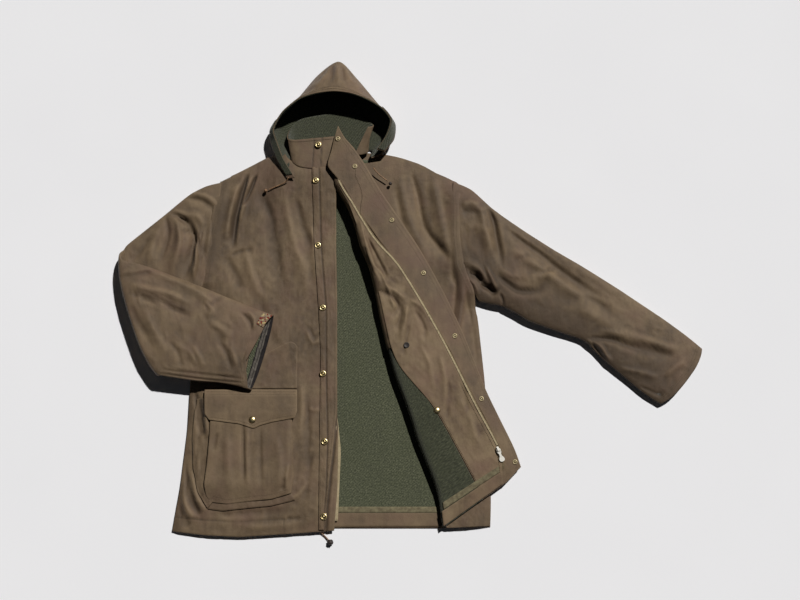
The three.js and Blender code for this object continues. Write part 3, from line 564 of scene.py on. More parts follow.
def wool(name, light, dark, fleck):
    """Woven wool: a twill of raised diagonal floats, flecked and slightly furry."""
    n = Nodes(name)
    obj, uv = n.coordinates()
    turned = n.add("ShaderNodeMapping", {"Vector": uv, "Rotation": (0, 0, 0.7)}).outputs[0]
    twill = n.wave(turned, WAVE_SCALE / 0.0042, 2.6, 2.0, "X")
    knots = n.noise(uv, 300.0, 4.0, 0.7)
    colour = n.ramp(knots, (0.36, dark), (0.52, light), (0.70, fleck))
    colour = n.mix(n.math("MULTIPLY", twill, 0.35), colour, dark)
    colour = n.mix(n.above(n.noise(obj, 10.0, 4.0, 0.6), 0.45, 1.6), colour, tint(light, 0.62, 0.66, 0.60))
    n.shade(Base_Color=colour, Roughness=0.95, Specular_IOR_Level=0.15, Sheen_Weight=0.25,
            Sheen_Roughness=0.6,
            Normal=n.bump(twill, 0.0010, 0.8, n.bump(knots, 0.0016, 0.9)))
    return n.material


def metal(name, bright, dull, rough, metallic=1.0):
    """Plated metal with tarnish in broad spots and fine scuffs."""
    n = Nodes(name)
    obj, _ = n.coordinates()
    scuffs = n.noise(obj, 1600.0, 3.0, 0.7)
    tarnish = n.weighted((n.noise(obj, 260.0, 4.0, 0.6), 0.7), (scuffs, 0.3))
    n.shade(Base_Color=n.ramp(tarnish, (0.38, dull), (0.55, bright)), Metallic=metallic,
            Roughness=n.spread(scuffs, rough, rough + 0.2), Normal=n.bump(scuffs, 0.0001, 0.4))
    return n.material


def plain_cloth(name, light, dark, period=0.0009, rough=0.85, fleck=None):
    """Tape or binding: a fine rib weave with slight mottling, and bits of two more colours if given."""
    n = Nodes(name)
    obj, uv = n.coordinates()
    colour = n.ramp(n.noise(obj, 120.0, 4.0, 0.6), (0.35, dark), (0.65, light))
    if fleck:
        bits = n.add("ShaderNodeTexVoronoi", {"Vector": uv, "Scale": 330.0}).outputs["Color"]
        pick = n.add("ShaderNodeSeparateColor", {"Color": bits}).outputs[0]
        colour = n.mix(n.math("GREATER_THAN", pick, 0.62), colour, fleck[0])
        colour = n.mix(n.math("GREATER_THAN", pick, 0.84), colour, fleck[1])
    n.shade(Base_Color=colour, Roughness=rough, Specular_IOR_Level=0.25,
            Normal=n.bump(weave(n, uv, period), 0.0002, 0.8))
    return n.material


def hide(name, light, dark):
    """Leather or horn: mottled brown, paler at the scuffs."""
    n = Nodes(name)
    grain = n.noise(n.coordinates()[0], 420.0, 5.0, 0.65)
    n.shade(Base_Color=n.ramp(grain, (0.35, dark), (0.62, light)), Roughness=0.6,
            Normal=n.bump(grain, 0.0003, 0.7))
    return n.material


# each look is a slot and its material
WAX = "waxed_cotton", waxed("waxed_cotton", (0.195, 0.138, 0.080), (0.142, 0.098, 0.057),
                            (0.092, 0.062, 0.037))
WAX_IN = "waxed_cotton", waxed("waxed_cotton_facing", (0.235, 0.172, 0.100), (0.168, 0.118, 0.068),
                               (0.085, 0.053, 0.034), 0.66)
WOOL = "wool_lining", wool("wool_lining", (0.090, 0.098, 0.054), (0.034, 0.040, 0.021), (0.180, 0.185, 0.120))
# darker copy of the same wool: painted shade for the turned-back front's wool, the collar and hood linings and
# the hood's wings
WOOL_PAINTED_SHADE = "wool_lining", wool("wool_lining_painted_shade", (0.055, 0.060, 0.033), (0.021, 0.024, 0.013),
                                 (0.105, 0.110, 0.070))
TAPE = "zip_tape", plain_cloth("zip_tape", (0.17, 0.13, 0.075), (0.11, 0.083, 0.048))
TAPE_PALE = "zip_tape", plain_cloth("zip_tape_right", (0.46, 0.38, 0.24), (0.33, 0.27, 0.16))
BINDING = "binding", plain_cloth("binding", (0.21, 0.185, 0.11), (0.12, 0.10, 0.06))
CUFF = "cuff_cloth", plain_cloth("cuff_cloth", (0.150, 0.135, 0.115), (0.06, 0.052, 0.044), 0.0011)
CUFF_DARK = "cuff_cloth", plain_cloth("cuff_binding", (0.022, 0.018, 0.018), (0.010, 0.009, 0.010))
FLECKED = "cuff_tab", plain_cloth("cuff_tab_cloth", (0.30, 0.24, 0.16), (0.16, 0.10, 0.07), 0.0011, 0.8,
                      ((0.16, 0.02, 0.012), (0.42, 0.34, 0.16)))
THREAD = "waxed_cotton", plain_cloth("thread", (0.155, 0.120, 0.070), (0.085, 0.063, 0.038), 0.0005, 0.6)
BRASS = "brass_snap", metal("brass", (0.80, 0.66, 0.36), (0.36, 0.27, 0.12), 0.24)
BRASS_DULL = "brass_snap", metal("brass_socket", (0.52, 0.44, 0.27), (0.30, 0.235, 0.12), 0.4, 0.6)
# near-black brass laid in each snap's well: painted shade in the recess
SOCKET_PAINTED_SHADE = "brass_snap", metal("socket_well", (0.10, 0.075, 0.035), (0.03, 0.02, 0.01), 0.5)
TEETH = "zip_tape", metal("zip_teeth_metal", (0.60, 0.50, 0.31), (0.42, 0.34, 0.20), 0.5, 0.15)
# near-white, non-metallic finish for the zip slider and pull: a painted glint standing in for the shine of lit
# metal
ZIP_PAINTED_GLINT = "bright_zip", metal("bright_zip_metal", (0.93, 0.91, 0.84), (0.80, 0.78, 0.70), 0.45, 0.0)
HIDE = "hide_cord", hide("hide_cord", (0.34, 0.20, 0.105), (0.10, 0.05, 0.026))
HIDE_DARK = "hide_cord", hide("hide_knot", (0.055, 0.040, 0.034), (0.014, 0.010, 0.010))
HORN = "dark_button", hide("dark_button", (0.035, 0.026, 0.022), (0.008, 0.006, 0.006))


# ---------------------------------------------------------------- camera, light and floor
def camera():
    """Camera looking down on the coat from 78 degrees above the surface, taking in 1.72 m across."""
    rise, reach, seen_width = math.radians(78), 3.0, 1.72
    aim = place((-22.0, 0.0, 0.0))
    data = bpy.data.cameras.new("camera")
    data.lens = data.sensor_width * reach / seen_width
    data.clip_end = 50
    obj = bpy.data.objects.new("camera", data)
    obj.location = aim + np.array([0, -math.cos(rise), math.sin(rise)]) * reach
    obj.rotation_euler = (math.radians(90) - rise, 0, 0)
    bpy.context.scene.collection.objects.link(obj)
    bpy.context.scene.camera = obj


def light(name, kind, energy, direction, **settings):
    """Light shining from a direction."""
    data = bpy.data.lights.new(name, kind)
    data.energy = energy
    for key, value in settings.items():
        setattr(data, key, value)
    obj = bpy.data.objects.new(name, data)
    d = np.array(direction, float)
    d /= np.linalg.norm(d)
    obj.location = d * 3
    obj.rotation_euler = (math.acos(d[2]), 0, math.atan2(d[1], d[0]) + math.pi / 2)
    bpy.context.scene.collection.objects.link(obj)


camera()
light("key_sun", "SUN", 3.42, (0.50, 0.66, 1.05), angle=math.radians(2.0), color=(1.0, 0.975, 0.94))
light("soft_fill", "SUN", 0.012, (-0.5, -0.5, 1.6), angle=math.radians(60), color=(0.86, 0.92, 1.0))
world = bpy.data.worlds.new("studio")
world.use_nodes = True
world.node_tree.nodes["Background"].inputs["Color"].default_value = (0.80, 0.88, 1.0, 1)
world.node_tree.nodes["Background"].inputs["Strength"].default_value = 0.011
bpy.context.scene.world = world
bpy.context.scene.view_settings.view_transform = "Standard"

floor = new_object("floor", np.array([[-6, -6, -0.0008], [6, -6, -0.0008], [6, 6, -0.0008],
                                      [-6, 6, -0.0008]]),
                   np.array([[0, 1, 2, 3]]))
paper = Nodes("floor_paper")
tone = paper.noise(paper.coordinates()[0], 3.0, 2.0)
paper.shade(Base_Color=paper.ramp(tone, (0.3, (0.902, 0.916, 0.955)), (0.7, (0.917, 0.931, 0.970))),
            Roughness=0.9)
floor.data.materials.append(paper.material)


# ---------------------------------------------------------------- body plan
SIDE_RIGHT = np.array([(-492, -484), (-480, -395), (-469, -280), (-466, -163), (-453, -26), (-438, 24),
                       (-422, 120),
                       (-411, 176), (-408, 264)], float)
SIDE_LEFT = np.array([(165, -482), (167, -429), (165, -322), (157, -174), (143, -30), (117, 30), (98, 74),
                      (92, 138),
                      (91, 264)], float)
SHOULDERS = np.array([(-408, 264), (-373, 285), (-314, 318), (-275, 332), (-165, 332), (-66, 328), (-22, 319),
                      (24, 303), (66, 278), (91, 264)], float)
PLACKET_LEFT = np.array([(-190, -489), (-190, -115), (-195, -35), (-207, 136), (-213, 289)], float)
PLACKET_RIGHT = np.array([(-178, -489), (-176, -440), (-171, -390), (-163, -320), (-156, -240), (-157.4, -3),
                          (-160.8, 108), (-161.8, 219), (-162, 289)], float)
PLACKET_LINE = np.array([(-178, -460), (-175, -400), (-173.5, -307), (-178, -163), (-180, -21), (-192, 116),
                         (-198, 289)], float)
PLACKET = np.array([(-159, -490), (-153, -407), (-152, -324), (-155, -218), (-157, -3), (-160, 108),
                    (-161, 219),
                    (-161, 290)], float)


def across(edge, y):
    """x of a long edge at height y on the plan."""
    return np.interp(y, edge[:, 1], edge[:, 0])


def shoulder(x):
    """y of the shoulder line at x."""
    return np.interp(x, SHOULDERS[:, 0], SHOULDERS[:, 1])


def count(n):
    """Cells of a grid at the chosen fineness."""
    return max(4, int(n * FINE))


def grid3(plan, z):
    """Plan points with their heights."""
    return np.concatenate([plan, z[..., None]], -1)


def edge_wear(grid, width=3):
    """Wear of 1 at a panel's edge, fading inwards over a few cells."""
    rows, cols = grid.shape[:2]
    i = np.minimum(np.arange(rows), np.arange(rows)[::-1])[:, None]
    j = np.minimum(np.arange(cols), np.arange(cols)[::-1])[None]
    return np.exp(-np.minimum(i, j) / width)


# ---------------------------------------------------------------- back
# back
BACK_TOP, LINING_TOP, HEM_TOP, BINDING_TOP = 2.0, 3.9, 4.0, 5.3    # heights of the layers

back = patch(SIDE_RIGHT, SIDE_LEFT, [(-492, -484), (-153, -484), (72, -484), (165, -482)], SHOULDERS,
             count(40), count(50))
cloth("back_shell_cloth", grid3(back, np.full(back.shape[:2], BACK_TOP)), SHELL, "back_shell", WAX,
      sheet=("laid", []))

BACK_FOLDS = [
    (-120, 250, -96, 20, 1.6, 16, 5), (-90, 120, -60, -170, 1.3, 18, -6), (-140, -60, -120, -300, 1.0, 14, 4),
    (-60, -200, -20, -400, 1.4, 20, 8), (-100, -330, -30, -380, 0.8, 12, 4), (0, -330, 30, -430, 1.0, 12, -4),
    (-150, 180, -120, 60, -0.7, 10, 3), (-30, -130, -10, -300, -0.8, 14, 4),
]
lin = patch([(-474, -446), (-450, -163), (-420, 24), (-396, 176), (-394, 250)],
            [(149, -446), (149, -322), (140, -174), (124, -30), (82, 74), (76, 138), (76, 250)],
            [(-474, -446), (149, -446)], [(-394, 250), (-275, 316), (-66, 312), (76, 250)], count(110),
            count(150))
lx, ly = xy(lin)
showing = ease((lx + 156) / 8) * ease((40 - lx) / 20)
lz = LINING_TOP + showing * np.maximum(0, creases(lx, ly, BACK_FOLDS) + 0.25 * value_noise(lx, ly, 22, 5))
cloth("back_lining_cloth", grid3(lin, lz), LINING, "back_lining", WOOL, sheet=("laid", ["back_shell_cloth"]))
face = patch([(-474, -483), (-470, -452)], [(149, -481), (149, -452)], [(-474, -483), (149, -481)],
             [(-470, -452), (149, -452)], count(160), count(10))
fx, fy = xy(face)
fz = HEM_TOP + 0.3 * (1 + value_noise(fx, fy, 30, 8)) * ease((fx + 150) / 10) + 0.12 * crumple(fx, fy, 8, 4)
cloth("back_hem_facing_cloth", grid3(face, fz), LINING, "back_hem_facing", WAX,
      sheet=("laid", ["back_shell_cloth"]), wear=edge_wear(fz) * 0.3)
tape = patch([(-470, -453), (-470, -441)], [(148, -453), (148, -441)], [(-470, -453), (148, -453)],
             [(-470, -441), (148, -441)], count(160), 3)
tz = BINDING_TOP + 0.2 * value_noise(*xy(tape), 25, 2)
cloth("back_hem_binding_tape", grid3(tape, tz), TRIM, "back_hem_binding", BINDING,
      sheet=("laid", ["back_lining_cloth"]))

# ---------------------------------------------------------------- wearer's right front
RIGHT_RIM = np.array([(-500, 4.8), (-60, 4.8), (-20, 6), (20, 13), (34, 19), (60, 21.5), (140, 22.5),
                      (220, 21.5),
                      (250, 18), (264, 12)])
RIGHT_FOLDS = [
    (-7, 5, -353, 281, -369, 218, -379, 164, -382, 110), (-5, 4, -334, 277, -350, 236, -364, 202),
    (3.5, 5, -344, 272, -358, 218, -370, 168), (3, 7, -374, 258, -388, 195, -397, 128),
    (-3, 11, -326, 240, -303, 184, -289, 106, -270, -4),
    (2.5, 9, -276, 240, -260, 162, -246, 106, -228, 66, -223, -4),
    (-2.5, 8, -248, 229, -232, 162, -211, 106), (2, 5, -214, 162, -207, 106, -200, 29),
    (-1.1, 3, -216, -58, -205, -84, -192, -74), (1.1, 3, -222, -69, -207, -97, -190, -87),
    (-2, 9, -396, 95, -374, 51, -364, 18), (2, 8, -356, 106, -339, 51, -317, -4),
    (-1.5, 4, -386, 93, -366, 102, -336, 108), (-1.6, 10, -317, -4, -303, -58, -285, -112),
    (-7, 4, -456, -200, -444, -245, -434, -297), (4.5, 5, -439, -202, -429, -251, -424, -299),
    (-5, 4, -473, -335, -465, -397, -453, -434, -436, -459), (3.5, 5, -480, -366, -472, -428, -452, -465),
    (3, 5, -459, -366, -445, -418, -424, -453), (-3, 5, -486, -428, -475, -459, -460, -483),
    (1.8, 6, -231, -183, -228, -240, -231, -303), (-1.4, 5, -218, -219, -213, -282, -218, -366),
    (-1.2, 3, -258, -465, -243, -466, -227, -464), (1.2, 4, -215, -236, -203, -240, -190, -238),
    (-1.4, 7, -405, -459, -332, -453, -260, -449), (1.2, 5, -250, -428, -230, -412, -213, -387),
    (-1.2, 5, -206, -324, -213, -376, -219, -428), (1.2, 6, -352, -483, -280, -481, -218, -475),
]
HEM_LINE_RIGHT = [(-486, -462), (-428, -469), (-355, -473), (-262, -467), (-262, -497)]


def right_top(x, y, detail=True):
    """Top of the right front: low at the side seam and hem, open at the armhole, high at the neck, with its
    listed folds, seam grooves and small crumples."""
    d = x - across(SIDE_RIGHT, y)
    rise = 1 - (1 - np.clip(d / 70, 0, 1))**2
    rim = np.interp(y, RIGHT_RIM[:, 0], RIGHT_RIM[:, 1])
    to_neck = ease((y - 150) / 130) * ease((x + 330) / 70)
    z = rim + (15 + 11 * to_neck - rim) * rise
    z = z + 3 * ease((y + 40) / 120) * rise
    s = np.clip((shoulder(x) - y) / 60, 0, 1)
    z = 5 + (z - 5) * np.sqrt(1 - (1 - s)**2)
    hem = np.clip((y + 505) / 90, 0, 1)
    low = np.minimum(z, 8.8)
    z = low + (z - low) * (1 - (1 - hem)**2)
    if detail:
        keep = ease((d + 2) / 26)
        z = z + keep * 1.35 * folds(x, y, RIGHT_FOLDS)
        z = z + keep * (0.9 * value_noise(x, y, 46, 11) + 0.5 * value_noise(x, y * 0.5, 17, 12)
                        + 0.75 * crumple(x, y * 0.7, 15, 13) + 0.4 * crumple(x * 1.2, y * 0.5, 8, 14))
        z = z + seam(x, y, HEM_LINE_RIGHT)
        z = z - SLIT_DEPTH * slit(x, y)
    return np.maximum(z, np.where(d < 16, 4.8, 8.4) - 0.3)


SLIT_DEPTH = 3.2


def slit(x, y):
    """Depth, 0 to 1, of the gap left of the front edge where the placket draws back from it."""
    return bell(x - across(PLACKET_RIGHT, y) - 3.5, 2.6) * ease((-225 - y) / 50)


RIGHT_EDGES = (
    np.concatenate([[(-494, -491)], SIDE_RIGHT[1:5], [(-449, 22), (-440, 110), (-428, 190), (-414, 263)]]),
    PLACKET,
    [(-494, -491), (-428, -499), (-355, -503), (-260, -497), (-159, -490)],
    [(-414, 263), (-373, 284), (-314, 316), (-276, 329), (-268, 312), (-250, 298), (-205, 290), (-161, 290)])
plan = patch(*RIGHT_EDGES, count(150), count(330))
rx, ry = xy(plan)
rz = right_top(rx, ry)
# fold ridges paler as rubbed wear, fold troughs darker as painted shade
fold_wear = np.clip((rz - right_top(rx, ry, False)) * 0.10, -0.5, 0.35)
# painted shade in the slit beside the placket and in the fold troughs; also darker along the side seam and
# toward the upper outer chest, a dark hem seam line and paler edges
cloth("front_right_cloth", grid3(plan, rz), SHELL, "front_right_shell", WAX,
      sheet=("laid", ["back_lining_cloth"]),
      wear=fold_wear + 0.35 * edge_wear(rz, 1.5) - 0.4 * bell(rx - across(SIDE_RIGHT, ry), 9)
      - 0.9 * slit(rx, ry) - 0.28 * ease((ry - 60) / 120) * ease((-230 - rx) / 60)
      - 0.5 * bell(line_distance(rx, ry, HEM_LINE_RIGHT), 1.6))

plack = patch(PLACKET_LEFT, PLACKET_RIGHT, [(-190, -489), (-178, -489)], [(-213, 289), (-162, 289)],
              count(38),
              count(330))
px, py = xy(plack)


def placket_top(x, y):
    """Placket lying on the front edge, a little dished between its stitch rows."""
    left, right = across(PLACKET_LEFT, y), across(PLACKET_RIGHT, y)
    roll = 0.9 * np.sin(math.pi * np.clip((x - left) / (right - left), 0, 1)) + 0.5 * value_noise(x, y, 14,
                                                                                                  21)
    groove = 1.1 * bell(x - across(PLACKET_LINE, y), 1.7)
    return right_top(x, y) + SLIT_DEPTH * slit(x, y) + 2.4 + roll * 0.7 - groove


cloth("front_right_placket_cloth", grid3(plack, placket_top(px, py)), FOLDED, "front_right_placket", WAX,
      sheet=("laid", ["front_right_cloth"]),
      wear=0.3 * edge_wear(px, 1.2) + 0.06 - 0.95 * bell(px - across(PLACKET_LINE, py), 1.7)
      - 0.7 * bell(px - across(PLACKET_LEFT, py), 1.2))
ztape = patch([(-162, -470), (-157, -324), (-163, -270), (-173, -200), (-176, 280)],
              [(-151, -470), (-146, -324), (-152, -270), (-162, -200), (-165, 280)],
              [(-162, -470), (-151, -470)], [(-176, 280), (-165, 280)], 6, count(200))
zx, zy = xy(ztape)
ztz = right_top(np.full_like(zx, -158.0), zy, False) - SHELL - 1.4 - 2 * ease((zy - 140) / 80)
cloth("zip_tape_right_cloth", grid3(ztape, ztz), TRIM, "zip_tape_right", TAPE_PALE,
      sheet=("laid", ["back_lining_cloth"]))

# cargo pocket
BAG_LEFT = [(-415, -432), (-424, -420), (-428, -396), (-423, -348), (-420, -302), (-418, -216)]
BAG_RIGHT = [(-248, -414), (-243, -385), (-246, -300), (-250, -216)]
BAG_FOOT = [(-415, -432), (-380, -436), (-332, -430), (-289, -426), (-248, -414)]
BAG_FOLDS = [
    (-350, -262, -344, -400, -3.2, 3.4, 1), (-340, -262, -335, -420, 1.8, 6, 2),
    (-313, -270, -307, -420, -1.5, 5, 2),
    (-380, -280, -372, -420, 1.6, 12, 4), (-402, -286, -410, -330, -1.6, 6, 2),
    (-280, -290, -272, -410, 1.8, 12, -4),
    (-262, -380, -268, -412, -2.4, 5, -2), (-254, -352, -262, -404, 2.4, 5, -2),
    (-392, -300, -384, -400, -0.9, 12, 4),
]


def bag_top(x, y):
    """Front of the cargo bag, crowned a little and pleated down its middle."""
    crown = 8 * ease((y + 450) / 60) * ease((-236 - x) / 20)
    z = right_top(x, y, False) + 3.0 + crown
    z = z + creases(x, y, BAG_FOLDS) + 0.7 * value_noise(x, y, 30, 31) + 0.25 * crumple(x, y, 10, 32)
    return np.maximum(z, right_top(x, y) + 2.4)


bag = patch(BAG_LEFT, BAG_RIGHT, BAG_FOOT, [(-418, -216), (-250, -216)], count(90), count(110))
bx, by = xy(bag)
bz = bag_top(bx, by)
cloth("cargo_bag_cloth", grid3(bag, bz), POCKET, "cargo_pocket_bag", WAX,
      sheet=("laid", ["front_right_cloth"]), wear=0.45 * edge_wear(bz, 2) - 0.05)
gus = patch([(-421, -444), (-442, -411), (-454, -359), (-458, -300), (-452, -216)],
            np.array(BAG_LEFT) + (6, 2),
            [(-421, -444), (-409, -430)], [(-452, -216), (-412, -214)], count(24), count(110))
gx, gy = xy(gus)
gz = right_top(gx, gy) + 3.4 + 1.6 * ease((gx + 452) / 30) + 1.6 * value_noise(gx * 2.2, gy * 0.5, 16, 41)
cloth("cargo_gusset_cloth", grid3(gus, np.maximum(gz, right_top(gx, gy) + 2.2)), FOLDED,
      "cargo_pocket_gusset",
      WAX, sheet=("folded", ["front_right_cloth"]), wear=0.3 * edge_wear(gz, 1.5) - 0.12)
gfoot = patch([(-420, -446), (-412, -427)], [(-240, -428), (-250, -410)],
              [(-420, -446), (-391, -450), (-333, -444), (-290, -440), (-240, -428)],
              [(-412, -427), (-380, -431), (-332, -425), (-289, -421), (-250, -410)], count(90), 6)
cloth("cargo_gusset_foot_cloth", grid3(gfoot, right_top(*xy(gfoot)) + 2.6), FOLDED,
      "cargo_pocket_gusset_bottom", WAX, sheet=("folded", ["front_right_cloth"]), wear=-0.2)
FLAP_FOOT = [(-421, -262), (-359, -270), (-340, -276), (-328, -280), (-314, -273), (-288, -266), (-243, -258)]


def flap_shape(x, y):
    """Pocket flap lying over the bag's mouth, dipping at its stitched edge."""
    z = bag_top(np.clip(x, -412, -254), np.maximum(y, -300)) * 0.35
    base = right_top(x, y, False) + 3.0 + 8 * ease((y + 450) / 60)
    z = z + base * 0.65 + 3.2
    droop = 1.6 * ease((-246 - y) / 26) + 5.0 * ease((y + 212) / 14)
    return z - droop + 0.5 * value_noise(x, y, 34, 51) + 0.18 * crumple(x, y, 12, 52)


def flap_top(x, y):
    """Pocket flap held clear of the front and of the bag beneath it."""
    z = flap_shape(x, y)
    over_bag = (x > -422) & (x < -246) & (y < -214)
    return np.maximum(np.maximum(z, right_top(x, y) + 2.6), np.where(over_bag, bag_top(x, y) + 2.2, 0))


flap = patch([(-421, -262), (-431, -250), (-433, -198)], [(-243, -258), (-238, -245), (-239, -198)],
             FLAP_FOOT, [(-433, -198), (-239, -198)], count(100), count(42))
flx, fly = xy(flap)
cloth("cargo_flap_cloth", grid3(flap, flap_top(flx, fly)), POCKET, "cargo_pocket_flap", WAX,
      sheet=("laid", ["cargo_bag_cloth"]), wear=0.5 * edge_wear(flap, 2) + 0.22)
welt = patch([(-336, -194), (-336, -136)], [(-240, -194), (-240, -100)], [(-336, -194), (-240, -194)],
             [(-336, -136), (-292, -112), (-256, -94), (-246, -97), (-240, -106)], count(40), count(44))
wx, wy = xy(welt)
cloth("handwarmer_welt_cloth", grid3(welt, right_top(wx, wy) + 1.9 + 0.4 * value_noise(wx, wy, 18, 61)), 1.3,
      "handwarmer_welt", WAX, sheet=("laid", ["front_right_cloth"]),
      wear=0.35 * edge_wear(wx, 1.5))

# ---------------------------------------------------------------- wearer's left front, turned back
LEFT = table(
    "gx gy fx fy ix iy zx zy ex ey low up out rim",
    (164, -480, 66, -485, 150, -427, 197, -392, 229, -360, 10.4, 17, 16, 15),
    (165, -420, 54, -410, 118, -366, 190, -327, 213, -315, 10.5, 25, 22, 16),
    (160, -290, 11, -294, 62, -262, 136, -221, 161, -203, 10.6, 29, 26, 18),
    (152, -150, -32, -165, -8, -150, 77, -101, 112, -78, 10.6, 31, 28, 21),
    (139, -20, -57, -60, -44, -53, 26, -8, 70, 13, 10.8, 32, 30, 23),
    (106, 52, -79, 38, -68, 44, -23, 71, 24, 99, 11, 33, 33, 26),
    (93, 125, -104, 112, -93, 117, -75, 131, -15, 160, 11, 34, 35, 29),
    (91, 205, -135, 198, -124, 201, -121, 207, -61, 229, 11, 34, 37, 33),
    (89, 261, -163, 252, -155, 254, -150, 257, -91, 280, 10.8, 33, 38, 37),
    (-20, 315, -160, 294, -154, 295, -150, 296, -120, 318, 10, 26, 36, 40))
LEFT_RIM = np.array([(-500, 3.8), (-60, 3.8), (-20, 5), (-4, 12), (12, 18.5), (40, 21.5), (127, 22.5),
                     (220, 21.5),
                     (248, 18), (264, 12)])
LEFT_FOLDS = [
    (-5, 7, 0, 290, 17, 229, 30, 161, 64, 112, 92, 79), (3, 8, -26, 285, -13, 217, 4, 161, 42, 79),
    (3, 9, 48, 281, 60, 206, 73, 139, 90, 92), (-2.5, 6, -33, 251, -22, 195, -11, 150),
    (-3, 5, 96, 79, 98, 18, 86, -69), (3, 5, 109, 70, 113, 7, 101, -80, 109, -155),
    (-3, 5, 120, 62, 123, -4, 135, -69, 143, -155), (2.5, 5, 130, 51, 136, -15, 131, -69),
    (-3, 4, 90, 117, 92, 79, 89, 29), (2.6, 4, 100, 79, 113, 62, 132, 48, 141, 18),
    (-3, 4, 102, 66, 115, 44, 136, 26), (1.5, 5, 78, 240, 91, 233, 104, 236),
    (-1.5, 3, 78, 226, 91, 222, 104, 224), (1.5, 3, 78, 215, 91, 211, 104, 213),
]


def left_low(x, y, base, detail=True):
    """Mid-height of the lower layer, pulled down to the side and shoulder seams, with its folds."""
    d = across(SIDE_LEFT, y) - x
    rise = 1 - (1 - np.clip(d / 60, 0, 1))**2
    rim = np.interp(y, LEFT_RIM[:, 0], LEFT_RIM[:, 1])
    s = np.clip((shoulder(x) - y) / 50, 0, 1)
    z = rim + (base - rim) * rise
    z = 4.2 + (z - 4.2) * np.sqrt(1 - (1 - s)**2)
    if detail:
        keep = ease((d + 2) / 22) * ease((x + 60) / 60)
        z = z + keep * (1.3 * folds(x, y, LEFT_FOLDS) + 0.7 * value_noise(x, y, 40, 71)
                        + 0.7 * crumple(x, y, 15, 72) + 0.35 * crumple(x, y * 0.6, 8, 73))
        z = np.maximum(z, np.minimum(3.8, base))
    return z


UPPER_FOLDS = [
    (4, 5, -108, 165, -95, 114, -78, 63, -56, 10), (-5, 4, -117, 158, -103, 107, -86, 54, -65, 2),
    (-3.5, 4, -91, 125, -73, 89, -48, 37), (3, 4, -82, 76, -60, 45, -39, -7, -30, -29),
    (-3.5, 4, -73, 15, -43, 2, -26, -20, -37, -46), (3, 4, -54, 23, -31, 10, -11, -7),
    (-3, 4, -18, -16, -22, -46, -30, -72), (3, 4, -7, -20, -11, -55, -22, -93),
    (-2, 4, 8, -29, 20, -46, 31, -72, 29, -93), (2, 4, -1, -7, 20, -20, 37, -42),
    (-2, 3, -1, -61, -9, -93, -16, -126), (1.8, 5, 62, -126, 73, -179, 76, -242),
    (-1.5, 4, 81, -177, 79, -221, 76, -263), (2, 7, 100, -211, 124, -263, 144, -326),
    (1.5, 5, 20, -104, 41, -147, 49, -200), (-1.3, 5, 108, -179, 116, -221, 124, -284),
]


def upper_detail(v, x, y):
    """Folds and crumples of the turned-back layer."""
    z = 1.1 * folds(x, y, UPPER_FOLDS)
    tight = ease((v - 0.22) / 0.3)
    z = z + tight * (1.4 * crumple(x, y, 26, 81) + 0.6 * value_noise(x, y, 14, 82))
    z = z + 0.9 * value_noise(x, y, 42, 83) + 0.6 * crumple(x, y, 14, 84) + 0.3 * crumple(x, y * 0.6, 7, 85)
    return z * ease(v / 0.06 + 0.2)


KEEP = 11.2    # distance from the fold at which its half turn begins


def fold_section(rows, off, start_in, end, n_low, n_turn, n_up, v0=0.0, tail=None):
    """Grid of the folded front: lower layer from side to fold, half turn, upper layer to end.

    Lower heights come from left_low; the turn is half an ellipse 9 mm deep; off moves it outward."""
    v = np.linspace(v0, 1, rows + 1)
    c = {k: smooth(LEFT[k], v) for k in LEFT}
    g, f = np.stack([c["gx"], c["gy"]], -1), np.stack([c["fx"], c["fy"]], -1)
    z, e = np.stack([c["zx"], c["zy"]], -1), np.stack([c[end + "x"], c[end + "y"]], -1)
    low_dir = (f - g) / np.linalg.norm(f - g, axis=1, keepdims=True)
    up_dir = (z - f) / np.linalg.norm(z - f, axis=1, keepdims=True)
    full = np.maximum(np.linalg.norm(z - f, axis=1), 1)
    up0 = c["up"] + (c["out"] - c["up"]) * np.clip(KEEP / full, 0, 1)
    over = 15 * ease((g[:, 1:] + 25) / 60) * ease((300 - g[:, 1:]) / 60) if start_in == 0 else 0
    start, turn_low, turn_up = g + low_dir * start_in - low_dir * over, f - low_dir * KEEP, f + up_dir * KEEP
    if tail:
        start = turn_low - low_dir * tail
    t = np.linspace(0, 1, n_low + 1)[None, :, None]
    lower = start[:, None] * (1 - t) + turn_low[:, None] * t
    lz = left_low(*xy(lower), c["low"][:, None]) - off * 1.9
    if off and not tail:
        lz = np.minimum(lz, left_low(*xy(lower), c["low"][:, None], False) - off * 1.9) - 1.2
    low_end = lz[:, -1]
    far = np.maximum(np.linalg.norm(e - f, axis=1), KEEP + 5)
    r = KEEP + (far - KEEP)[:, None] * np.linspace(0, 1, n_up + 1)[None]
    upper = f[:, None] + up_dir[:, None] * r[..., None]
    share = np.clip(r / full[:, None], 0, 1)
    uz = c["up"][:, None] + (c["out"] - c["up"])[:, None] * share + off
    uz = uz + upper_detail(v[:, None], *xy(upper))
    high = uz[:, 0]
    radius = (high - low_end) / 2
    reach = np.minimum(radius, 9) + off
    a = math.pi * np.arange(1, n_turn) / n_turn
    m = (1 - np.cos(a))[None, :, None] / 2
    wobble = 1 + 0.25 * value_noise(v * 900, v * 0, 60, 91) * (1 - ease((0.1 - v) / 0.1))
    turn = turn_low[:, None] * (1 - m) + turn_up[:, None] * m
    turn = turn + low_dir[:, None] * (reach[:, None] * np.sin(a)[None])[..., None] * wobble[:, None, None]
    tz = (high + low_end)[:, None] / 2 - radius[:, None] * np.cos(a)[None]
    return np.concatenate([grid3(lower, lz), grid3(turn, tz), grid3(upper, uz)], 1)


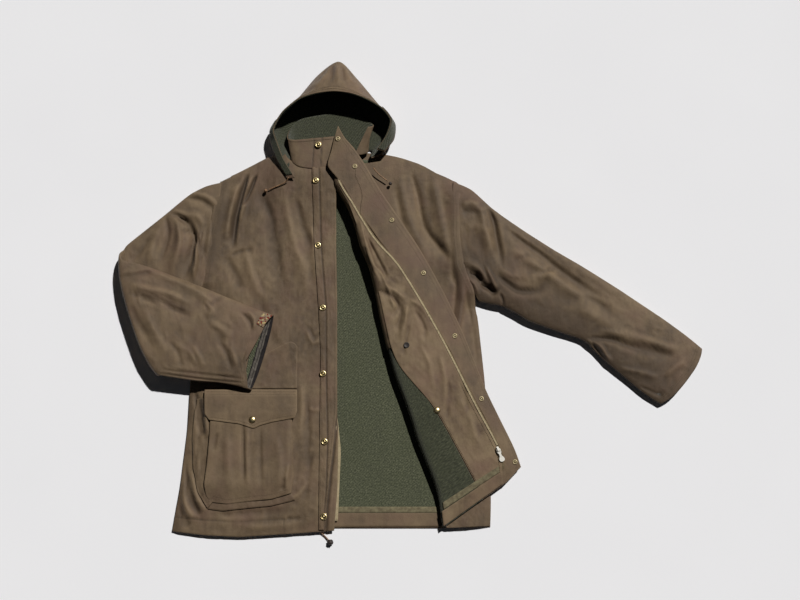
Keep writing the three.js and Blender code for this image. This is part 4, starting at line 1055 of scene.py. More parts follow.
mid = fold_section(count(330), 0, 0, "z", count(70), count(14), count(70))
cloth("front_left_cloth", mid, SHELL, "front_left_shell", WAX, sheet=("folded", ["back_lining_cloth"]),
      lift=SHELL / 2, up_at=(0.4, 0.9))
LINING_OFF = 2.1      # wool above the shell's middle
FACING_OFF = 3.7      # turned facing above it
HEM_OFF = 3.9         # hem band above it
LINING_START = 40     # distance from the side seam at which the lower lining begins
mid = fold_section(count(240), LINING_OFF, LINING_START, "i", count(24), count(14), count(48))
cloth("front_left_lining_cloth", mid, LINING, "front_left_lining", WOOL_PAINTED_SHADE,
      sheet=("folded", ["front_left_cloth"]), lift=LINING / 2, up_at=(0.3, 0.85))


def upper_at(v, s, off):
    """Point of the turned-back layer at share v of the fold and s across: 0 fold, 1 zip, 2 flap edge."""
    v, s = np.broadcast_arrays(np.asarray(v, float), np.asarray(s, float))
    c = {k: smooth(LEFT[k], v) for k in LEFT}
    inner = s <= 1
    t = np.where(inner, s, s - 1)
    x = np.where(inner, c["fx"] + (c["zx"] - c["fx"]) * t, c["zx"] + (c["ex"] - c["zx"]) * t)
    y = np.where(inner, c["fy"] + (c["zy"] - c["fy"]) * t, c["zy"] + (c["ey"] - c["zy"]) * t)
    z = np.where(inner, c["up"] + (c["out"] - c["up"]) * t, c["out"] + (c["rim"] - c["out"]) * t) + off
    return np.stack([x, y, z + upper_detail(v, x, y)], -1)


def plan_distance(v, end):
    """Plan distance at share v from the fold to another line of the table."""
    fx, fy, ex, ey = (smooth(LEFT[k], np.asarray(v, float)) for k in ("fx", "fy", end + "x", end + "y"))
    return np.hypot(fx - ex, fy - ey)


def zip_length(v):
    """Width of the turned-back layer from fold to zip."""
    return np.maximum(plan_distance(v, "z"), 1)


def lining_share(v):
    """Share across at which the wool ends."""
    return np.maximum(plan_distance(v, "i"), 16.4) / zip_length(v)


def from_zip(gap):
    """Line a gap short of the zip, as a share across at v."""
    return lambda v: 1 - gap / zip_length(v)


def at_share(share):
    """Line at one share across."""
    return lambda v: np.full_like(v, share)


def strip(name, v0, v1, s0, s1, rows, cols, off, thick, nodes, look, **more):
    """Part of the turned-back layer between two lines across it, off above its middle."""
    v = np.linspace(v0, v1, rows + 1)
    a, b = s0(v), s1(v)
    s = a[:, None] + (b - a)[:, None] * np.linspace(0, 1, cols + 1)[None]
    if callable(off):
        off = off(v)[:, None]
    return cloth(name, upper_at(v[:, None], s, off + thick / 2), thick, nodes, look, **more)


def wraps(v):
    """0 where the wool shows beside the fold, 1 where the facing lies over it."""
    return ease((np.asarray(v, float) - 0.24) / 0.05)


def facing_start(v):
    """Share across at which the facing begins: at the wool's edge below, at the fold above."""
    k = ease((np.asarray(v, float) - 0.25) / 0.16)
    return (lining_share(v) + 2.4 / zip_length(v)) * (1 - k) + 5 / zip_length(v) * k


mid = fold_section(count(210), FACING_OFF, LINING_START, "i", 6, count(14), count(10), v0=0.385, tail=12)
cloth("front_left_facing_turn_cloth", mid, LINING, "", WAX_IN, sheet=("folded", ["front_left_cloth"]),
      lift=LINING / 2, up_at=(0.3, 0.85), wear=-0.25)
strip("front_left_facing_cloth", 0.012, 0.93, facing_start, from_zip(7), count(260), count(60),
      lambda v: 2.1 + 1.8 * wraps(v), LINING, "front_left_facing", WAX_IN,
      sheet=("folded", ["front_left_cloth"]),
      wear=0.16)
strip("zip_tape_left_cloth", 0.06, 0.94, from_zip(12), from_zip(0.5), count(260), 8, 1.0, TRIM,
      "zip_tape_left", TAPE,
      sheet=("laid", ["front_left_facing_cloth"]))
strip("left_hem_band_cloth", 0.006, 0.055, at_share(0.02), from_zip(7), count(14), count(60), HEM_OFF, 1.3,
      "left_hem_band",
      WAX_IN, sheet=("laid", ["front_left_lining_cloth"]), wear=0.08)
strip("left_hem_binding_tape", 0.058, 0.075, at_share(0.05), from_zip(14), 5, count(60), HEM_OFF, TRIM,
      "left_hem_binding",
      BINDING, sheet=("laid", ["front_left_lining_cloth"]))

FLAP = table(
    "ax ay ex ey low out",
    (200, -390, 230, -359, 15, 13), (194, -328, 214, -315, 21, 16), (140, -219, 161, -203, 26, 19),
    (81, -99, 112, -78, 28, 22), (30, -6, 70, 13, 30, 25), (-19, 73, 24, 99, 33, 27),
    (-64, 133, -15, 160, 35, 30),
    (-111, 210, -61, 229, 37, 33), (-137, 262, -91, 280, 40, 36), (-162, 298, -120, 325, 41, 39),
    (-163, 332, -143, 352, 40, 41), (-164, 354, -157, 378, 39, 40))


def flap_at(v, s, off=0.0):
    """Point of the storm flap: v from hem to collar corner, s from zip to outer edge."""
    v, s = np.broadcast_arrays(np.asarray(v, float), np.asarray(s, float))
    c = {k: smooth(FLAP[k], v) for k in FLAP}
    x = c["ax"] + (c["ex"] - c["ax"]) * s
    y = c["ay"] + (c["ey"] - c["ay"]) * s
    z = c["low"] + (c["out"] - c["low"]) * s + off + 1.6 * ease((v - 0.58) / 0.12)
    z = z + 0.8 * value_noise(x, y, 40, 101) + 0.2 * crumple(x, y, 12, 102) + 0.7 * np.sin(math.pi * s)
    return np.stack([x, y, z], -1)


v = np.linspace(0, 1, count(300) + 1)[:, None]
s = np.linspace(0, 1, count(36) + 1)[None]
s = s - (0.13 + 0.24 * ease((v - 0.55) / 0.15)) * (1 - s)
flap_grid = flap_at(v, s, SHELL / 2)
cloth("storm_flap_cloth", flap_grid, SHELL, "storm_flap", WAX,
      sheet=("folded", ["front_left_cloth"]), wear=0.4 * edge_wear(flap_grid, 2))

# ---------------------------------------------------------------- sleeves
SLEEVE = "px py qx qy z h turn bow"
SLEEVE_LEFT = table(
    SLEEVE,
    (95, 260, 147, -6, 11.5, 10, 0, -18), (133, 242, 172, -12, 13, 12, 0, -10),
    (180, 198, 196, -17, 14, 13, 0, 0),
    (242, 152, 225, -32, 14, 13, 0, 0), (308, 108, 256, -50, 13, 12, 0, 0), (368, 72, 310, -70, 12, 11, 0, 0),
    (442, 24, 370, -92, 11, 10, 0, 0), (490, -9, 410, -132, 11, 10, 0, 4),
    (540, -44, 455, -171, 10.5, 9.5, 0, 8),
    (585, -78, 492, -203, 10, 9, 0, 10), (620, -108, 527, -226, 9.5, 8.5, 0, 14))
SLEEVE_RIGHT = table(
    SLEEVE,
    (-412, 259, -446, 20, 11.5, 10, 0, -6), (-445, 250, -456, -20, 12, 11, 0, 0),
    (-481, 230, -474, -62, 12, 11, 0, 0),
    (-530, 188, -494, -104, 11, 10, 0, 4), (-580, 146, -512, -138, 10, 9, 0, 8),
    (-610, 120, -524, -158, 10, 9, 0, 12),
    (-618, 108, -528, -166, 12, 9, 30, 12), (-622, 98, -530, -169, 26, 9, 90, 12),
    (-618, 84, -528, -170, 40, 9, 150, 12), (-608, 76, -522, -171, 42, 9, 180, -12),
    (-567, 66, -496, -175, 41, 10, 180, -8), (-500, 42, -454, -181, 39, 11, 180, 0),
    (-440, 19, -410, -184, 37, 12, 180, 0), (-380, -6, -378, -189, 36.5, 12, 180, 0),
    (-325, -28, -352, -195, 36, 11.5, 180, 0), (-290, -40, -334, -200, 35, 10, 180, -4))
SLEEVE_LEFT_FOLDS = [
    (-6, 6, 168, 201, 181, 167, 187, 127, 197, 74), (4, 7, 151, 205, 159, 160, 176, 94),
    (-4, 7, 200, 158, 236, 127, 279, 96, 321, 61, 363, 30, 413, -5),
    (3, 8, 207, 180, 258, 145, 322, 96, 406, 39, 490, -14), (3, 8, 219, 105, 278, 65, 341, 17, 404, -31),
    (-4.5, 5, 186, 50, 209, 30, 234, 15, 288, 17), (3, 5, 188, 65, 224, 47, 288, 47, 304, 56),
    (-2.5, 4, 278, 52, 295, 58, 306, 65), (-2, 4, 218, 78, 236, 87, 257, 91),
    (-4.5, 5, 381, -85, 428, -90, 465, -103, 518, -115, 560, -126), (3.5, 6, 403, -70, 487, -87, 571, -113),
    (4, 5, 370, -90, 402, -105, 414, -126, 426, -139), (-4, 4, 385, -94, 397, -113, 418, -139),
    (2, 8, 345, -18, 403, -44, 456, -70), (-2, 7, 319, 4, 383, -5, 436, -36),
    (2, 4, 539, -167, 556, -152, 578, -139), (-1.5, 4, 483, -188, 514, -203, 535, -211),
    (4, 4, 102, 78, 128, 74, 149, 61, 162, 39), (-7, 4, 124, 56, 145, 47, 153, 34),
    (-8, 6, 149, 32, 170, 21, 185, 8), (4, 4, 162, 65, 175, 39, 183, 12), (3, 4, 111, 50, 136, 30, 144, 4),
    (-3, 3, 192, 10, 198, -9, 195, -25), (2.5, 5, 112, 205, 130, 210, 151, 203),
    (-2.5, 6, 112, 189, 138, 189, 164, 180), (2.5, 8, 120, 149, 138, 158, 159, 145),
    (-2, 6, 116, 109, 137, 118, 163, 105), (2, 5, 442, -152, 484, -160, 526, -173),
]
SLEEVE_RIGHT_UPPER_FOLDS = [
    (-8, 6.5, -490, 148, -466, 140, -470, 96, -487, 46), (5, 6.5, -508, 186, -496, 132, -501, 94, -515, 52),
    (6, 5, -462, 124, -459, 79, -468, 40), (-6, 5, -515, 190, -493, 176, -475, 160, -466, 143),
    (3.5, 4, -518, 197, -489, 183, -463, 181, -445, 163),
    (-3, 4, -490, 224, -455, 217, -429, 201, -411, 177), (3, 5, -482, 235, -445, 226, -412, 203),
    (3, 4, -466, 141, -442, 127, -420, 119), (-2.5, 4, -466, 127, -446, 112, -434, 79),
    (2, 4, -430, 168, -435, 116, -445, 79), (-2, 5, -561, 136, -581, 105, -602, 79),
    (2, 6, -540, 161, -556, 116, -559, 79), (-3, 5, -530, 185, -522, 139, -537, 79),
]
SLEEVE_RIGHT_FORE_FOLDS = [
    (-4.2, 2.2, -598, 5, -562, -7, -525, -16, -491, -34, -457, -42),
    (3.5, 6, -595, 23, -552, 12, -509, 3, -466, -19), (-2.5, 5, -616, 38, -574, 46, -549, 51),
    (3, 6, -564, 60, -500, 33, -446, 7, -413, -23), (-2, 4, -434, -27, -418, -16, -399, -1),
    (2.5, 4, -435, -14, -419, -32, -427, -49), (2.5, 4, -425, -57, -393, -77, -371, -92),
    (-2.5, 4, -418, -70, -392, -90, -377, -109), (-2.4, 4, -358, -36, -338, -57, -330, -75),
    (2.4, 4, -345, -32, -326, -53, -319, -75), (2, 6, -528, -53, -486, -64, -452, -81),
    (-2, 5, -506, -75, -468, -83, -451, -96), (2.2, 5, -457, -109, -444, -130, -433, -156),
    (-2.2, 4, -405, -96, -387, -122, -376, -160), (2.2, 4, -396, -92, -375, -117, -363, -156),
    (-2.5, 2.2, -528, -166, -440, -178, -340, -187), (-2.0, 2, -531, -158, -440, -168, -340, -179),
    (-2, 9, -593, -21, -570, -64, -537, -117), (2, 8, -561, -32, -538, -79, -509, -128),
    (1.6, 4, -495, -107, -463, -122, -449, -151), (-1.6, 4, -510, -96, -488, -122, -479, -156),
]


def sleeve_ring(rows, sign, v, a, skin, folds):
    """Points of a flattened tube: squarish oval between the two seam edges, turned over at the elbow.

    Folds and crumples are added upright on the faces that look up, and weaker on those below."""
    c = {k: smooth(rows[k], v)[:, None] for k in rows}
    width = np.hypot(c["px"] - c["qx"], c["py"] - c["qy"])
    wx, wy = (c["px"] - c["qx"]) / width, (c["py"] - c["qy"]) / width
    turn = np.radians(c["turn"])
    ox, oy = sign * wy, -sign * wx
    cos, sin = np.cos(a)[None], np.sin(a)[None]
    w = (width / 2 - skin) * np.sign(cos) * np.abs(cos)**0.72
    n = (c["h"] - skin) * np.sign(sin) * np.abs(sin)**0.72
    b = c["bow"] * (1 - cos**2)
    nx, nz = -np.sin(turn), np.cos(turn)
    x = (c["px"] + c["qx"]) / 2 + wx * w + ox * (n * nx + b)
    y = (c["py"] + c["qy"]) / 2 + wy * w + oy * (n * nx + b)
    z = c["z"] + n * nz
    facing_up = np.clip(np.sign(sin) * nz, -1, 1) * np.abs(sin)**0.5
    detail = folds(x, y, np.broadcast_to(v[:, None], x.shape))
    z = z + np.maximum(facing_up, 0) * detail
    soft = 0.8 * value_noise(x, y, 36, 111) * (1 - np.abs(facing_up)) * ease((z - 3) / 5)
    if sign < 0:
        back_off = np.interp(y, [-200, -196, -170, -142, -87, -60, -40], [0, -9, -21, -33, -19, -13, -1])
        x = x + back_off * ease((v[:, None] - 0.90) / 0.10) * np.clip(facing_up * 3, 0, 1)
    return np.stack([x, y, z + soft], -1)


def sleeve_left_detail(x, y, v):
    """Folds and crumples, fading at the armhole and the cuff."""
    z = 1.3 * folds(x, y, SLEEVE_LEFT_FOLDS) + 0.9 * value_noise(x, y, 44, 121) + 0.5 * value_noise(x, y,
                                                                                                    20, 122)
    z = z + 0.85 * crumple(x, y, 16, 123) + 0.4 * crumple(x, y, 8, 124)
    return z * ease((v + 0.02) / 0.07) * ease((1.06 - v) / 0.1)


def sleeve_right_detail(x, y, v):
    """Upper-arm folds before the elbow, forearm folds after it."""
    arm = folds(x, y, SLEEVE_RIGHT_UPPER_FOLDS)
    fore = folds(x, y, SLEEVE_RIGHT_FORE_FOLDS)
    z = 1.3 * np.where(v < 0.5, arm, fore) + 0.8 * value_noise(x, y, 40, 131) + 0.5 * value_noise(x, y, 18,
                                                                                                  132)
    z = z + 0.85 * crumple(x, y, 16, 133) + 0.4 * crumple(x, y, 8, 134)
    return z * ease((v + 0.02) / 0.08) * ease((1.05 - v) / 0.08)


def sleeve(name, rows, sign, v0, v1, nv, na, skin, thick, detail, nodes, look, painted_shade=0.0, **more):
    """Tube between two sections; a painted shade of the given strength darkens the half toward its lower seam.
    """
    v = np.linspace(v0, v1, nv + 1)
    a = 2 * math.pi * np.arange(na) / na
    # painted shade on the half toward the lower seam
    if painted_shade:
        more["wear"] = -painted_shade * ease((0.35 - np.cos(a)) / 0.9)[None] * ease((v + 0.1) / 0.2)[:, None]
    return cloth(name, sleeve_ring(rows, sign, v, a, skin, detail), thick, nodes, look, wrap=True, **more)


sleeve("sleeve_left_cloth", SLEEVE_LEFT, 1, 0, 1, count(230), count(150), 0, SHELL, sleeve_left_detail,
       "sleeve_left_shell", WAX, sheet=("laid", []), painted_shade=0.8)
sleeve("sleeve_right_cloth", SLEEVE_RIGHT, -1, 0, 1, count(300), count(150), 0, SHELL, sleeve_right_detail,
       "sleeve_right_shell", WAX, sheet=("folded", ["front_right_cloth"]))
sleeve("cuff_left_inner", SLEEVE_LEFT, 1, 0.93, 1.004, 10, count(100), 2.4, 1.2, lambda x, y, v: 0 * x,
       "cuff_left_lining", CUFF)
inner_cuff = sleeve("cuff_right_inner", SLEEVE_RIGHT, -1, 0.935, 1.0, 30, count(120), 2.6, 1.2,
                    lambda x, y, v: 0.5 * crumple(x, y, 9, 134), "cuff_right_lining", CUFF)
for _, material in (CUFF_DARK, WOOL):
    inner_cuff.data.materials.append(material)
centres = np.empty(len(inner_cuff.data.polygons) * 3)
inner_cuff.data.polygons.foreach_get("center", centres)
centres = centres.reshape(-1, 3) / MM + (PLAN_X, PLAN_Y, 0)
from_end = np.interp(centres[:, 1], [-200, -40], [-334, -290]) - centres[:, 0]
band = np.where(from_end < 3.5, 1, np.where(from_end < 13, 0, np.where(from_end < 15.5, 1, 2)))
band = np.where((from_end > 7) & (from_end < 8.2), 1, band)
inner_cuff.data.polygons.foreach_set("material_index", band.astype(int))
v = np.linspace(0.955, 0.999, 12)
a = np.linspace(-0.35, -1.0, 14)
tab = sleeve_ring(SLEEVE_RIGHT, -1, v, a, -1.6, sleeve_right_detail)
cloth("cuff_right_tab_cloth", tab, 1.1, "cuff_right_tab", FLECKED, sheet=("laid", ["sleeve_right_cloth"]))

# ---------------------------------------------------------------- collar and hood
COLLAR = table(
    "bx by bz tx ty tz",
    (-163, 286, 29.6, -166, 358, 31), (-205, 285, 30, -214, 353, 32), (-240, 290, 29.6, -250, 350, 31),
    (-257, 303, 24, -267, 355, 27), (-254, 320, 16, -267, 370, 19), (-246, 329, 10, -258, 388, 12),
    (-225, 334, 8, -237, 405, 10), (-165, 336, 8, -168, 417, 10), (-110, 334, 8, -110, 411, 10),
    (-92, 329, 11, -88, 396, 14), (-102, 322, 18, -80, 386, 22), (-122, 316, 26, -92, 380, 30))


COLLAR_LINES = (-194.5, -212)    # x of the two stitched lines on its front


def collar_grid(nu, nv):
    """Stand of the collar: from neck seam to top edge, front half over back half."""
    u, t = np.linspace(0, 1, nu + 1), np.linspace(0, 1, nv + 1)[:, None]
    c = {k: smooth(COLLAR[k], u)[None] for k in COLLAR}
    x = c["bx"] + (c["tx"] - c["bx"]) * t
    y = c["by"] + (c["ty"] - c["by"]) * t
    z = c["bz"] + (c["tz"] - c["bz"]) * t
    z = z + 0.5 * value_noise(x, y, 16, 141)
    for line in COLLAR_LINES:
        z = z - 0.9 * ease((0.24 - u) / 0.03)[None] * bell(x - line - 3 * t, 1.5)
    return np.stack([x, y, z], -1)


grid = collar_grid(count(200), count(28))
rise = np.linspace(0, 1, grid.shape[0])[:, None]
on_front = (grid[..., 2] > 28.5) & (grid[..., 1] < 362)
collar_wear = sum(-0.9 * bell(grid[..., 0] - line - 3 * rise, 1.6) for line in COLLAR_LINES) * on_front
cloth("collar_cloth", grid, HOOD_SHELL, "collar_shell", WAX, sheet=("folded", []), lift=0.8,
      up_at=(0.5, 0.1), wear=collar_wear)
cloth("collar_lining_cloth", grid, LINING, "collar_lining", WOOL_PAINTED_SHADE, sheet=("folded", ["collar_cloth"]),
      lift=-1.2, up_at=(0.5, 0.1))

HOOD = table(
    "rx ry rz sx sy sz nx ny nz",
    (-250, 263, 37, -266, 262, 32, -262, 280, 30), (-274, 303, 38, -290, 306, 30, -262, 312, 20),
    (-288, 338, 42, -304, 345, 26, -256, 330, 10), (-297, 370, 46, -306, 374, 22, -252, 332, 5),
    (-277, 407, 55, -290, 404, 12, -262, 346, 1.2), (-240, 435, 62, -250, 450, 8, -225, 340, 1),
    (-204, 446, 65, -204, 508, 7, -195, 338, 1), (-165, 450, 66, -158, 540, 7, -165, 337, 1),
    (-129, 446, 65, -118, 500, 7, -135, 338, 1), (-97, 436, 61, -78, 450, 8, -108, 340, 1),
    (-62, 417, 54, -40, 402, 12, -84, 334, 1.2), (-42, 391, 47, -32, 382, 20, -84, 326, 4),
    (-52, 356, 42, -36, 352, 26, -86, 318, 12), (-72, 326, 40, -56, 324, 31, -84, 312, 22))
HOOD_FOLDS = [
    (-160, 536, -152, 462, 2.6, 4.5, 2), (-170, 532, -174, 470, -2.6, 4, -2),
    (-148, 532, -140, 470, -2.6, 4, 2),
    (-178, 532, -192, 478, 2.4, 5, -3), (-142, 530, -126, 476, 2.4, 4, 2),
    (-186, 524, -206, 474, -2.0, 4, -3),
    (-134, 520, -112, 476, -2.0, 4, 2),
    (-190, 510, -206, 460, 2.8, 8, -3), (-128, 510, -104, 462, 2.8, 8, 3),
    (-210, 470, -240, 440, -2.2, 8, -3),
    (-110, 480, -78, 440, -2.2, 8, 3), (-180, 460, -150, 452, 2.0, 8, 2), (-226, 450, -262, 412, 2.0, 9, -3),
    (-92, 446, -62, 410, 2.0, 9, 3),
]


def hood_at(u, v):
    """Hood surface: u round the rim, v from rim over the crown to the floor edge and under to the neck."""
    c = {k: smooth(HOOD[k], u)[None] for k in HOOD}
    v = v[:, None]
    t = np.clip(v / 0.5, 0, 1)
    drop = c["rz"] - c["sz"]
    x = c["rx"] + (c["sx"] - c["rx"]) * t
    y = c["ry"] + (c["sy"] - c["ry"]) * t
    z = c["rz"] + (c["sz"] - c["rz"]) * t**0.9 + np.sin(math.pi * t) * 0.12 * drop
    crown = ease(t / 0.15) * ease((1 - t) / 0.2) * ease(drop / 40)
    z = z + crown * (creases(x, y, HOOD_FOLDS) + 1.2 * value_noise(x, y, 26, 151) + 0.4 * crumple(x, y, 12,
                                                                                                  152))
    q = np.clip((v - 0.5) / 0.5, 0, 1)
    under = v > 0.5
    sink = ease(q / 0.35)
    x2 = c["sx"] + (c["nx"] - c["sx"]) * q
    y2 = c["sy"] + (c["ny"] - c["sy"]) * q
    z2 = c["sz"] + (c["nz"] - c["sz"]) * sink
    return np.stack([np.where(under, x2, x), np.where(under, y2, y), np.where(under, z2, z)], -1)


over = np.linspace(0, 0.5, count(70))
under = 0.5 + 0.5 * np.linspace(0, 1, count(50))[1:]**1.4
rows = np.concatenate([over, under])
grid = hood_at(np.linspace(0, 1, count(240) + 1), rows)
cloth("hood_cloth", grid, HOOD_SHELL, "hood_shell", WAX, sheet=("folded", []), lift=0.8,
      up_at=(0.25, 0.5))
grid = hood_at(np.linspace(0.03, 0.97, count(140) + 1), rows[::2])
cloth("hood_lining_cloth", grid, LINING, "hood_lining", WOOL_PAINTED_SHADE, sheet=("folded", ["hood_cloth"]),
      lift=-1.0, up_at=(0.25, 0.5))

for name, u0, u1 in (("hood_wing_lining_right", 0.02, 0.27), ("hood_wing_lining_left", 0.77, 0.99)):
    wing = hood_at(np.linspace(u0, u1, count(70) + 1), np.linspace(0.0, 0.42, count(24)))
    cloth(name, wing, LINING, "", WOOL_PAINTED_SHADE, sheet=("folded", ["hood_cloth"]), lift=2.6, up_at=(0.5, 0.5))

# ---------------------------------------------------------------- sewing
THREAD_LIFT = 0.15    # height of a thread's middle above the cloth


def on_right(points, n=200):
    """Line on the right front's face through plan points."""
    p = along(np.array(points, float), np.linspace(0, 1, n), 0.01)
    return grid3(p, right_top(*xy(p)) + THREAD_LIFT)


def on_placket(edge, offset, n=300):
    """Line on the placket beside one of its edges."""
    y = np.linspace(-484, 284, n)
    x = across(edge, y) + offset
    return np.stack([x, y, placket_top(x, y) + 0.12], -1)


def on_left(offset, n=200):
    """Line on the lower left front beside its armhole."""
    y = np.linspace(12, 246, n)
    x = across(SIDE_LEFT, y) + offset
    return np.stack([x, y, left_low(x, y, np.full_like(y, 11.0)) + SHELL / 2 + THREAD_LIFT], -1)


right_rows = [on_right([(-405, 258), (-419, 190), (-431, 110), (-440, 26)]),
              on_right([(-399, 258), (-413, 190), (-425, 110), (-434, 26)]),
              on_right(HEM_LINE_RIGHT[:4]), on_right([(-262, -467), (-208, -460)]),
              on_right([(-262, -468), (-262, -496)])]
right_rows += [on_placket(PLACKET_RIGHT, -3), on_placket(PLACKET_LEFT, 3), on_placket(PLACKET_LINE, 3)]
stitches("right_front_stitches", right_rows)
stitches("left_armhole_stitches", [on_left(8), on_left(2)])


def on_flap(points, n=120):
    """Line on the pocket flap's face through plan points."""
    p = along(np.array(points, float), np.linspace(0, 1, n), 0.01)
    return grid3(p, flap_top(*xy(p)) + THREAD_LIFT)


inset_foot = [(x * 0.975 - 8.5, y + 6) for x, y in FLAP_FOOT]
pocket_rows = [on_flap([(-430, -202), (-241, -202)]), on_flap([(-430, -209), (-241, -209)]),
               on_flap(inset_foot)]
bag_line = along(np.array([(-410, -420), (-380, -427), (-332, -421), (-289, -417), (-254, -406)], float),
                 np.linspace(0, 1, 100), 0.01)
pocket_rows.append(grid3(bag_line, bag_top(*xy(bag_line)) + THREAD_LIFT))
stitches("pocket_stitches", pocket_rows)

v = np.linspace(0.01, 0.99, 400)
flap_rows = [flap_at(v, 1 - 3.5 / 45, SHELL / 2 + 0.12), flap_at(v, 1 - 10 / 45, SHELL / 2 + 0.12)]
v = np.linspace(0.02, 0.92, 400)
face_rows = [upper_at(v, 1 - 12.5 / zip_length(v), 3.65),
             upper_at(v, lining_share(v) + 5 / zip_length(v), 3.65)]
stitches("left_front_stitches", flap_rows + face_rows)
u = np.linspace(0.03, 0.97, 300)
rim_rows = [hood_at(u, np.array([k]))[0] + (0, 0.4, 1.7) for k in (0.035, 0.075)]
collar_row = collar_grid(200, 28)[26, 2:64] + (0, 0, 1.75)
stitches("hood_collar_stitches", rim_rows + [collar_row])


def on_sleeve(rows, sign, v, a, detail):
    """Line on a sleeve's face at sections v and angles a."""
    v, a = np.broadcast_arrays(v, a)
    return np.concatenate([sleeve_ring(rows, sign, v[i:i + 1], a[i:i + 1], -0.15,
                                       detail)[0] for i in range(len(v))])


arc = np.linspace(0.15, 2.95, 70)
stitches("cuff_left_stitches", [on_sleeve(SLEEVE_LEFT, 1, 0.962, arc, sleeve_left_detail),
                                on_sleeve(SLEEVE_LEFT, 1, 0.972, arc, sleeve_left_detail)])
run = np.linspace(0.66, 0.97, 90)
stitches("sleeve_right_stitches", [on_sleeve(SLEEVE_RIGHT, -1, run, math.pi + 0.55, sleeve_right_detail),
                                   on_sleeve(SLEEVE_RIGHT, -1, run, math.pi + 0.70, sleeve_right_detail)])

# ---------------------------------------------------------------- snaps, button, zip
SNAP_RING = [(0, 0), (7.0, 0), (7.3, 0.5), (7.1, 1.2), (6.2, 1.9), (5.0, 2.1), (4.2, 1.9), (3.7, 1.2),
             (3.5, 0.7),
             (0, 0.7)]
SNAP_POST = [(0, 0.7), (2.5, 0.7), (2.4, 1.8), (2.2, 2.3), (1.4, 2.6), (0, 2.6)]
SNAP_CAP = [(0, 0), (7.0, 0), (7.3, 0.4), (7.0, 1.0), (5.6, 2.0), (3.4, 2.7), (1.6, 2.95), (0, 3.0)]


def snap(name, at, node, post=True):
    """Half of a snap: a rolled ring with painted shade in its well, and a tall post where it is the stud half.
    """
    size = 1.0 if post else 0.76
    verts, faces = merged([lathe([(r * size, z) for r, z in SNAP_RING], at),
                           lathe([(r * size, z * size) for r, z in SNAP_POST], at, 20)])
    obj = solid(name, (verts, faces), BRASS if post else BRASS_DULL, node)
    obj.data.materials.append(SOCKET_PAINTED_SHADE[1])
    centres = np.array([verts[list(f)].mean(0) for f in faces]) - np.asarray(at)
    radius = np.hypot(*xy(centres)) / size
    # faces of the well and its inner wall take the near-black brass: painted shade in the recess
    dark = (radius < 3.6) & (centres[:, 2] > 0.5) & ~((radius < 2.6) & (centres[:, 2] > size))
    obj.data.polygons.foreach_set("material_index", dark.astype(int))


for k, (x, y) in enumerate([(-205, 258), (-199, 116), (-187, -21), (-185, -163), (-180, -307), (-180, -462)]):
    z = float(placket_top(np.array([x * 1.0]), np.array([y * 1.0]))[0])
    snap(f"stud_{k + 2}", (x, y, z + 0.2), f"snap_stud_{k + 2}")
snap("stud_1", (-200, 338, 35.0), "snap_stud_1")
for k, (v, s) in enumerate([(0.938, 0.43), (0.758, 0.58), (0.568, 0.71), (0.413, 0.6), (0.278, 0.5),
                            (0.178, 0.34),
                            (0.045, 0.72)]):
    snap(f"socket_{k + 1}", flap_at(v, s, SHELL / 2 + 0.1), f"snap_socket_{k + 1}", post=False)
z = float(flap_shape(np.array([-331.0]), np.array([-262.0]))[0])
solid("cargo_snap", lathe(SNAP_CAP, (-331, -262, z + 0.6)), BRASS, "cargo_pocket_snap")
solid("inner_snap", lathe(SNAP_CAP, upper_at(0.243, 0.42, 3.0)), BRASS, "facing_snap")
BUTTON = [(0, 0), (5.6, 0), (6.4, 0.8), (6.2, 2.0), (5.0, 2.6), (4.2, 2.0), (0, 1.9)]
solid("inner_button", lathe(BUTTON, upper_at(0.375, 0.34, 4.6)), HORN, "facing_button")

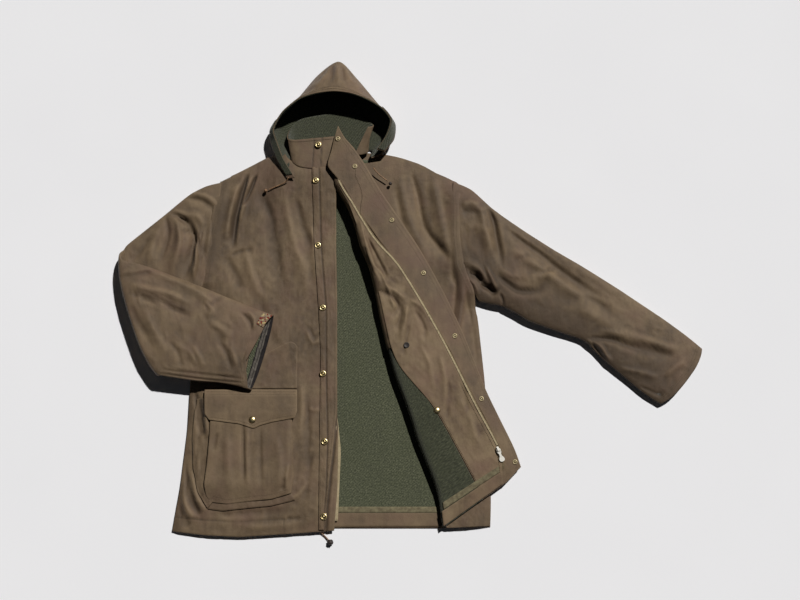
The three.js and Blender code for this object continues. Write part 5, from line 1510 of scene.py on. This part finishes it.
zip_v = np.linspace(0.130, 0.955, 1600)
spine = upper_at(zip_v, 1 - 4.2 / zip_length(zip_v), 1.6 + 0.9 * wraps(zip_v))
at, t = resample(spine, 1.9)
TOOTH = (1.25, 3.5, 3.2)    # along, across and above the tape
block = np.array([(i, j, k) for i in (-0.5, 0.5) for j in (-0.5, 0.5) for k in (0, 1)]) * TOOTH
axes = np.stack([t, unit(np.cross((0, 0, 1), t)), np.broadcast_to((0.0, 0.0, 1.0), t.shape)], 1)
tooth = at[:, None] + block @ axes
cube = [(0, 1, 3, 2), (4, 6, 7, 5), (0, 4, 5, 1), (2, 3, 7, 6), (0, 2, 6, 4), (1, 5, 7, 3)]
start = len(block) * np.arange(len(at))
faces = np.concatenate([np.stack([start + k for k in face], -1) for face in cube])
dress(new_object("zip_teeth", place(tooth.reshape(-1, 3)), faces, smooth_shading=False), TEETH,
      "zip_teeth_left")

# the slider and pull take the near-white painted glint
for node in ("zip_slider", "zip_pull_tab"):
    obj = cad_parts[node]
    obj.data.materials.clear()
    obj.data.materials.append(ZIP_PAINTED_GLINT[1])

# ---------------------------------------------------------------- cords
CORD_R = 1.3


def free_cord(name, points, node, knot_at, knot_r, knot_look):
    """Limp cord through points, with a knot at its end."""
    line = np.stack([smooth(column, np.linspace(0, 1, 60)) for column in np.array(points, float).T], -1)
    obj = solid(name, tube(line, CORD_R, 12), HIDE, node)
    verts, faces = lathe([(0, -knot_r), (knot_r * 0.6, -knot_r * 0.85), (knot_r, -knot_r * 0.3),
                          (knot_r, knot_r * 0.3),
                          (knot_r * 0.6, knot_r * 0.85), (0, knot_r)], (0, 0, 0), 24)
    bumps = 1 + 0.16 * np.sin(5 * np.arctan2(verts[:, 1], verts[:, 0]) + verts[:, 2])
    knot = solid(name.replace("thong", "end"), (verts * bumps[:, None] + knot_at, faces), knot_look,
                 node + "_knot")


free_cord("hood_cord_right_thong", [(-262, 262, 42), (-270, 254, 34), (-284, 248, 29), (-298, 243, 26),
                                    (-306, 240, 25)],
          "hood_cord_right", (-313, 237, 25.5), 3.6, HIDE)
free_cord("hood_cord_left_thong", [(-80, 288, 27), (-74, 281, 24.5), (-66, 273, 23), (-57, 266, 22),
                                   (-49, 260, 21.5)],
          "hood_cord_left", (-43, 254, 21.5), 3.4, HIDE_DARK)
free_cord("hem_cord_thong", [(-189, -489, 6.6), (-184, -495, 4), (-177, -502, 2.4), (-171, -508, 3.4),
                             (-167, -513, 6)],
          "hem_cord", (-166, -514, 6.2), 5.6, HIDE_DARK)
